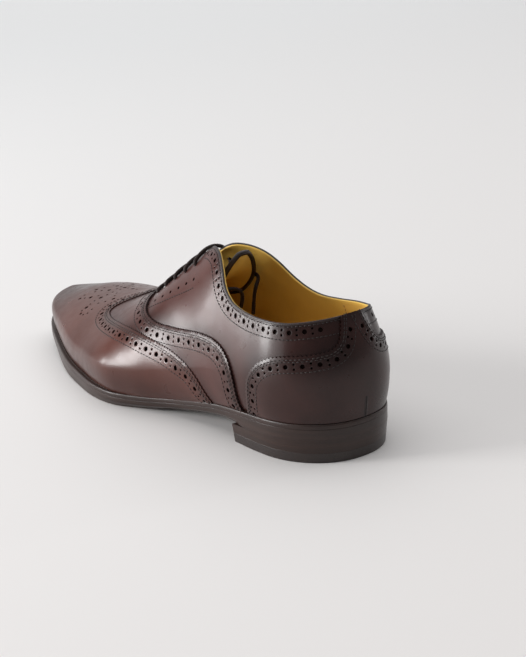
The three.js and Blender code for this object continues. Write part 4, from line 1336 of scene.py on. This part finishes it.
def back_seam():
    """The open foot of the back seam: a narrow groove painted dark as shade, with raised lips."""
    heights = np.linspace(0.0, BACK_SEAM_TOP, 24)
    across = np.array([-1.3, -0.75, -0.35, -0.12, 0.12, 0.35, 0.75, 1.3])
    lift = np.array([-0.05, 0.12, 0.16, 0.0, 0.0, 0.16, 0.12, -0.05])
    rows = []
    for h in heights:
        centre = off_last(np.zeros(1), np.array([h]), np.array([COUNTER_TOP]))[0]
        fade = min(1.0, (BACK_SEAM_TOP - h) / 0.03)
        rows.append(np.stack([centre[0] + across, np.full(8, centre[1]) + 0.02 * across ** 2 - lift * fade,
                              np.full(8, centre[2])], axis=1))
    points = np.array(rows)
    parts = Parts()
    # The lips take the full darkening: burnish with painted shade of the heel's back.
    parts.add(points, grid_faces(len(heights), 8), grid_normals(points), np.full(points.size // 3, 1.0))
    parts.build("back_seam_lips", counter_calf, slot="counter_leather")
    # The groove is a near-black strip: painted shade in the slit.
    groove = points[:, 3:5].copy()
    groove[..., 1] -= 0.03
    dark = Parts()
    dark.add(groove, grid_faces(len(heights), 2), grid_normals(groove), np.ones(groove.size // 3))
    dark.build("back_seam_groove_shade", painted_shade_dark, slot="counter_leather")


def heel_lining():
    """A second lining piece round the inside of the heel, with its cut front edges."""
    turns = np.linspace(-HEEL_LINING_TURN, HEEL_LINING_TURN, 80)
    edge = look_up(TOP_EDGE, station_of(turns))
    height = np.where(turns < 0, edge[:, 0], edge[:, 1]) * 0.985
    depth = np.full(80, -UPPER_WALL - 0.45)
    depth[[0, -1]] = -UPPER_WALL
    points = np.array([off_last(turns, height * share, depth) for share in np.linspace(0, 1, 30)])
    parts = Parts()
    parts.add(points, grid_faces(30, 80, flip=True), grid_normals(points, flip=True))
    parts.build("heel_lining", heel_lining_calf, slot="insole_leather")
    rows = []
    for side in (-1, 1):
        turn = side * (HEEL_LINING_TURN - 0.006)
        top = look_up(TOP_EDGE, station_of(turn))[0 if side < 0 else 1]
        rows.append((np.stack([np.full(40, turn), np.linspace(0.05, top * 0.96, 40)], axis=1), -UPPER_WALL - 0.5))
    stitches("heel_lining_stitches", rows, lining_thread, slot="insole_leather")


back_seam()
heel_lining()


# Tongue

TONGUE_OUTER = -(UPPER_WALL + 2 * LACE_CLEARANCE + LACE_DIAMETER)
TONGUE_INNER = TONGUE_OUTER - TONGUE_THICKNESS


def tongue_point(along, across, distance):
    """Points of the tongue: along it from front to head, across it from -1 to 1."""
    form = look_up(TONGUE_FORM, along)
    station = TONGUE_FRONT + (TONGUE_TOP - TONGUE_FRONT) * form[..., 0]
    reach = np.abs(across) * TONGUE_HALF_SPAN * form[..., 1]
    side = np.where(across < 0, -1.0, 1.0)
    point = off_last(side * turn_of(station), 1 - reach, distance)
    crown = off_last(turn_of(station), np.ones_like(reach), distance)
    point[..., 2] += (crown[..., 2] - point[..., 2]) * form[..., 4] - form[..., 3] * TONGUE_HEAD_DROP
    point[..., 1] -= form[..., 2] * TONGUE_HEAD_BACK
    point[..., 0] += form[..., 2] * TONGUE_HEAD_SHIFT
    return point


def tongue():
    along, across = np.meshgrid(np.linspace(0, 1, 90), np.linspace(-1, 1, 49), indexing="ij")
    outer = tongue_point(along, across, np.full(along.shape, TONGUE_OUTER))
    inner = tongue_point(along, across, np.full(along.shape, TONGUE_INNER))
    faces = grid_faces(*along.shape)
    front = Parts()
    # The tongue's outside takes an even darkening of 0.6 through the same attribute.
    front.add(outer, [f[::-1] for f in faces], -grid_normals(outer), np.full(outer.size // 3, 0.6))
    front.build("tongue_outside", quarter_calf, slot="tongue_leather", replaces=["tongue"])
    back = Parts()
    back.add(inner, faces, grid_normals(inner))
    back.build("tongue_lining", lining_calf, slot="insole_leather")
    border = [(i, 0) for i in range(8, 90)]
    border += [(89, k) for k in range(1, 49)]
    border += [(i, 48) for i in range(88, 7, -1)]
    middle = np.array([(outer[i, k] + inner[i, k]) / 2 for i, k in border])
    rim = Parts()
    cord_mesh(middle[::3], 2.9, rim, 1.2, 0.0)
    rim.build("tongue_rim", edge_calf, slot="tongue_leather")


tongue()


# Sole, welt, insole and heel

SOLE_COLUMNS = 240


def sole_turns():
    return -1 + 2 * (np.arange(SOLE_COLUMNS) + 1) / SOLE_COLUMNS


def sole_edge_points(turn, extra, z):
    s = station_of(turn)
    margin = look_up(SOLE_MARGIN, s)
    distance = np.where(turn < 0, margin[..., 0], margin[..., 1]) * BALL_WIDTH + extra
    points = off_last(turn, np.zeros_like(turn), distance)
    points[..., 2] = z
    return points


def stacked_rings(name, rings, material, slot, replaces):
    """A closed body from rings round the sole; its caps are strips from side to side."""
    points = np.array(rings)
    count = points.shape[1]
    faces = grid_faces(len(rings), count, closed=True)
    normals = grid_normals(points, closed=True)
    parts = Parts()
    parts.add(points, faces, normals)
    half = count // 2
    for ring, up in ((points[-1], True), (points[0], False)):
        lateral = ring[:half]
        medial = ring[half - 1:count - 1][::-1]
        rows = np.array([lateral + (medial - lateral) * share for share in np.linspace(0, 1, 9)])
        normal = np.zeros_like(rows)
        normal[..., 2] = 1 if up else -1
        parts.add(rows, grid_faces(9, half, flip=not up), normal)
    piece = parts.build(name, material, slot=slot, replaces=replaces)
    return piece


def outsole():
    turns = sole_turns()
    s = station_of(turns)
    bottom = feather_at(s) - SOLE_BUILD
    top = bottom + OUTSOLE_THICKNESS
    free = smooth_step(s, 0.17, 0.22)
    bevel = look_up(WAIST_BEVEL, s)[:, 0] * BALL_WIDTH * free
    level = top - OUTSOLE_EDGE_SHARE * OUTSOLE_THICKNESS
    rounding = 0.08 + (OUTSOLE_BEVEL - 0.08) * free
    bottom = bottom - LAYER_GAP * (1 - free)
    top = top + 0.8 * LAYER_GAP
    rings = [sole_edge_points(turns, -bevel - rounding, bottom)]
    for angle in np.linspace(20, 90, 4):
        a = math.radians(angle)
        rings.append(sole_edge_points(turns, -bevel - rounding * (1 - math.sin(a)),
                                      bottom + rounding * (1 - math.cos(a))))
    rings.append(sole_edge_points(turns, -0.55 * bevel, bottom + 0.55 * (level - bottom)))
    rings.append(sole_edge_points(turns, -0.08 * bevel, level))
    rings.append(sole_edge_points(turns, 0.0, level + 0.3 * (top - level)))
    rings.append(sole_edge_points(turns, 0.0, top - 0.12))
    rings.append(sole_edge_points(turns, -0.1, top))
    return stacked_rings("outsole_body", rings, sole_edge, "sole_leather", ["outsole"])


outsole()


def insole():
    turns = sole_turns()
    inset = UPPER_WALL + INSOLE_SIDE_GAP
    height = feather_at(station_of(turns))
    rings = []
    for extra, lift in ((0.0, -WELT_THICKNESS), (0.0, 1.2), (0.15, 1.6), (0.6, INSOLE_ABOVE_FEATHER)):
        points = off_last(turns, np.zeros_like(turns), np.full(len(turns), -inset - extra))
        points[:, 2] = height + lift
        rings.append(points)
    return stacked_rings("insole_sock", rings, sock_calf, "insole_leather", ["insole"])


insole()


def welt():
    turns = sole_turns()
    top = feather_at(station_of(turns)) - LAYER_GAP
    bottom = top - WELT_THICKNESS
    inner = off_last(turns, np.zeros_like(turns), np.full(len(turns), -(UPPER_WALL + WELT_INNER_OVERLAP)))
    def level(points, z):
        moved = points.copy()
        moved[:, 2] = z
        return moved
    profile = [
        level(inner, bottom),
        sole_edge_points(turns, -0.1, bottom),
        sole_edge_points(turns, 0.0, bottom + 0.12),
        sole_edge_points(turns, 0.0, bottom + 0.9),
        sole_edge_points(turns, 0.0, top - 0.9),
        sole_edge_points(turns, -0.12, top - 0.35),
        sole_edge_points(turns, -0.40, top - 0.08),
        sole_edge_points(turns, -WELT_EDGE_ROUNDING, top),
        level(inner, top),
    ]
    points = np.array(profile)
    parts = Parts()
    parts.add(points, grid_faces(len(profile), len(turns), closed=True), grid_normals(points, closed=True))
    parts.build("welt_strip", welt_leather, slot="welt_leather", replaces=["welt"])
    shape, faces = pill(2.3, 0.36)
    stitch_parts = Parts()
    for side in (-1, 1):
        line_turns = side * np.linspace(turn_of(0.36), 1, 400)
        s = station_of(line_turns)
        margin = look_up(SOLE_MARGIN, s)[:, 0 if side < 0 else 1] * BALL_WIDTH
        line = off_last(line_turns, np.zeros_like(line_turns), margin * 0.55)
        line[:, 2] = feather_at(s) - LAYER_GAP + 0.10
        run = lengths_of(line)
        at = np.arange(1.5, run[-1], 3.0)
        centres = np.stack([np.interp(at, run, line[:, k]) for k in range(3)], axis=1)
        directions = unit(np.gradient(centres, axis=0))
        for p, a in zip(centres, directions):
            b = unit(np.cross((0, 0, 1.0), a))
            turned = shape @ np.stack([a, b, np.cross(a, b)])
            stitch_parts.add(turned + p, faces, unit(turned - (shape[:, :1] * 0.8) @ a[None]))
    stitch_parts.build("welt_stitches", welt_thread, slot="welt_leather")


welt()


def heel_ring(extra, height, steps=44):
    """Heel outline: the sole's outline back from the breast, closed by a hollow breast."""
    edges = []
    for side in (-1, 1):
        turns = side * np.linspace(0.1, 0.5, 400)
        y = sole_edge_points(turns, extra, 0.0)[:, 1]
        edges.append(np.interp(HEEL_BREAST_Y, y, turns))
    turns = np.concatenate([np.linspace(edges[0], 0, steps + 1), np.linspace(0, edges[1], steps + 1)[1:]])
    back = sole_edge_points(turns, extra, height(turns))
    share = (np.arange(1, 2 * steps) / (2 * steps))[:, None]
    breast = back[-1] + (back[0] - back[-1]) * share
    breast[:, 1] -= HEEL_BREAST_HOLLOW * 4 * share[:, 0] * (1 - share[:, 0])
    return np.vstack([back, breast])


def heel_body(name, levels, material, slot, replaces):
    rings = np.array([heel_ring(extra, height) for extra, height in levels])
    count = rings.shape[1]
    half = count // 2
    parts = Parts()
    for low, high in ((0, half + 1), (half, count + 1)):
        index = np.arange(low, high) % count
        section = rings[:, index]
        parts.add(section, grid_faces(len(rings), len(index)), grid_normals(section))
    for ring, up in ((rings[-1], True), (rings[0], False)):
        back = ring[:half + 1]
        breast = ring[(count - np.arange(half + 1)) % count]
        rows = np.array([back + (breast - back) * share for share in np.linspace(0, 1, 5)])
        normal = np.zeros_like(rows)
        normal[..., 2] = 1 if up else -1
        parts.add(rows, grid_faces(5, half + 1, flip=not up), normal)
    return parts.build(name, material, slot=slot, replaces=replaces)


def heel_seat(turn):
    return feather_at(station_of(turn)) - SOLE_BUILD - LAYER_GAP


def heel():
    low = TOP_PIECE_THICKNESS + 0.05
    levels = []
    for share in np.linspace(0, 1, 15):
        groove = 0.05 if 0 < share < 1 and round(share * 14) % 7 == 0 else 0.0
        extra = -0.02 - (HEEL_SEAT_INSET + HEEL_TAPER / 2) * (1 - share) - groove
        levels.append((extra, lambda turn, k=share: low + (heel_seat(turn) - low) * k))
    heel_body("heel_lifts", levels, heel_leather, "stack_leather", ["heel_stack"])
    foot = -HEEL_SEAT_INSET - HEEL_TAPER
    rings = [(foot - 0.5, 0.0), (foot - 0.2, 0.12), (foot, 0.5), (foot + 0.2, 2.0),
             (-HEEL_SEAT_INSET - HEEL_TAPER / 2 - 0.02, TOP_PIECE_THICKNESS - 0.1),
             (-HEEL_SEAT_INSET - HEEL_TAPER / 2 - 0.1, TOP_PIECE_THICKNESS)]
    heel_body("heel_top_lift", [(e, lambda turn, k=z: np.full(len(turn), k)) for e, z in rings],
              heel_rubber, "heel_rubber", ["heel_top_piece"])


heel()


# Floor, light and colour

def stage():
    mesh = bpy.data.meshes.new("floor")
    size = 12.0
    corners = [(-size, -size, 0), (size, -size, 0), (size, size, 0), (-size, size, 0)]
    mesh.from_pydata(corners, [], [(0, 1, 2, 3)])
    floor = bpy.data.objects.new("floor", mesh)
    material, bsdf, tree = shader("pale_floor", 0.75, specular=0.25)
    coordinates = tree.nodes.new("ShaderNodeTexCoord")
    split = tree.nodes.new("ShaderNodeSeparateXYZ")
    tree.links.new(coordinates.outputs["Object"], split.inputs["Vector"])
    far = spread(tree, split.outputs["Y"], -0.2, 1.6)
    tree.links.new(mix(tree, far, (0.815, 0.788, 0.775), (0.815, 0.815, 0.815)), bsdf.inputs["Base Color"])
    mesh.materials.append(material)
    bpy.context.scene.collection.objects.link(floor)
    world = bpy.data.worlds.new("studio")
    world.use_nodes = True
    world.node_tree.nodes["Background"].inputs["Color"].default_value = (0.95, 0.97, 1.0, 1)
    world.node_tree.nodes["Background"].inputs["Strength"].default_value = 0.18
    bpy.context.scene.world = world
    lights = [
        ("ceiling", (1.1, 1.8, 3.5), (1.1, 1.8, 0.0), 8.0, 8.0, 198.0),
        ("backdrop", (1.2, 3.3, 1.15), (0.0, 0.0, 0.1), 4.4, 1.9, 12.0),
        ("window", (-1.63, 1.16, 0.52), (0.0, 0.10, 0.04), 0.62, 0.72, 33.0),
        ("low_window", (-1.15, 1.63, 0.26), (0.0, 0.05, 0.05), 0.30, 0.34, 6.0),
        ("side_panel", (-1.95, 0.50, 0.50), (0.0, 0.05, 0.05), 0.8, 0.8, 5.0),
        ("heel_strip", (1.74, -0.46, 0.36), (0.01, -0.03, 0.05), 0.20, 0.6, 2.4),
    ]
    for name, place, aim, width, height, power in lights:
        data = bpy.data.lights.new(name, "AREA")
        data.shape = "RECTANGLE"
        data.size, data.size_y = width, height
        data.energy = power
        lamp = bpy.data.objects.new(name, data)
        lamp.location = place
        lamp.rotation_euler = (Vector(aim) - Vector(place)).to_track_quat("-Z", "Y").to_euler()
        bpy.context.scene.collection.objects.link(lamp)
    bpy.context.scene.view_settings.view_transform = "Standard"
    bpy.context.scene.view_settings.look = "None"


stage()
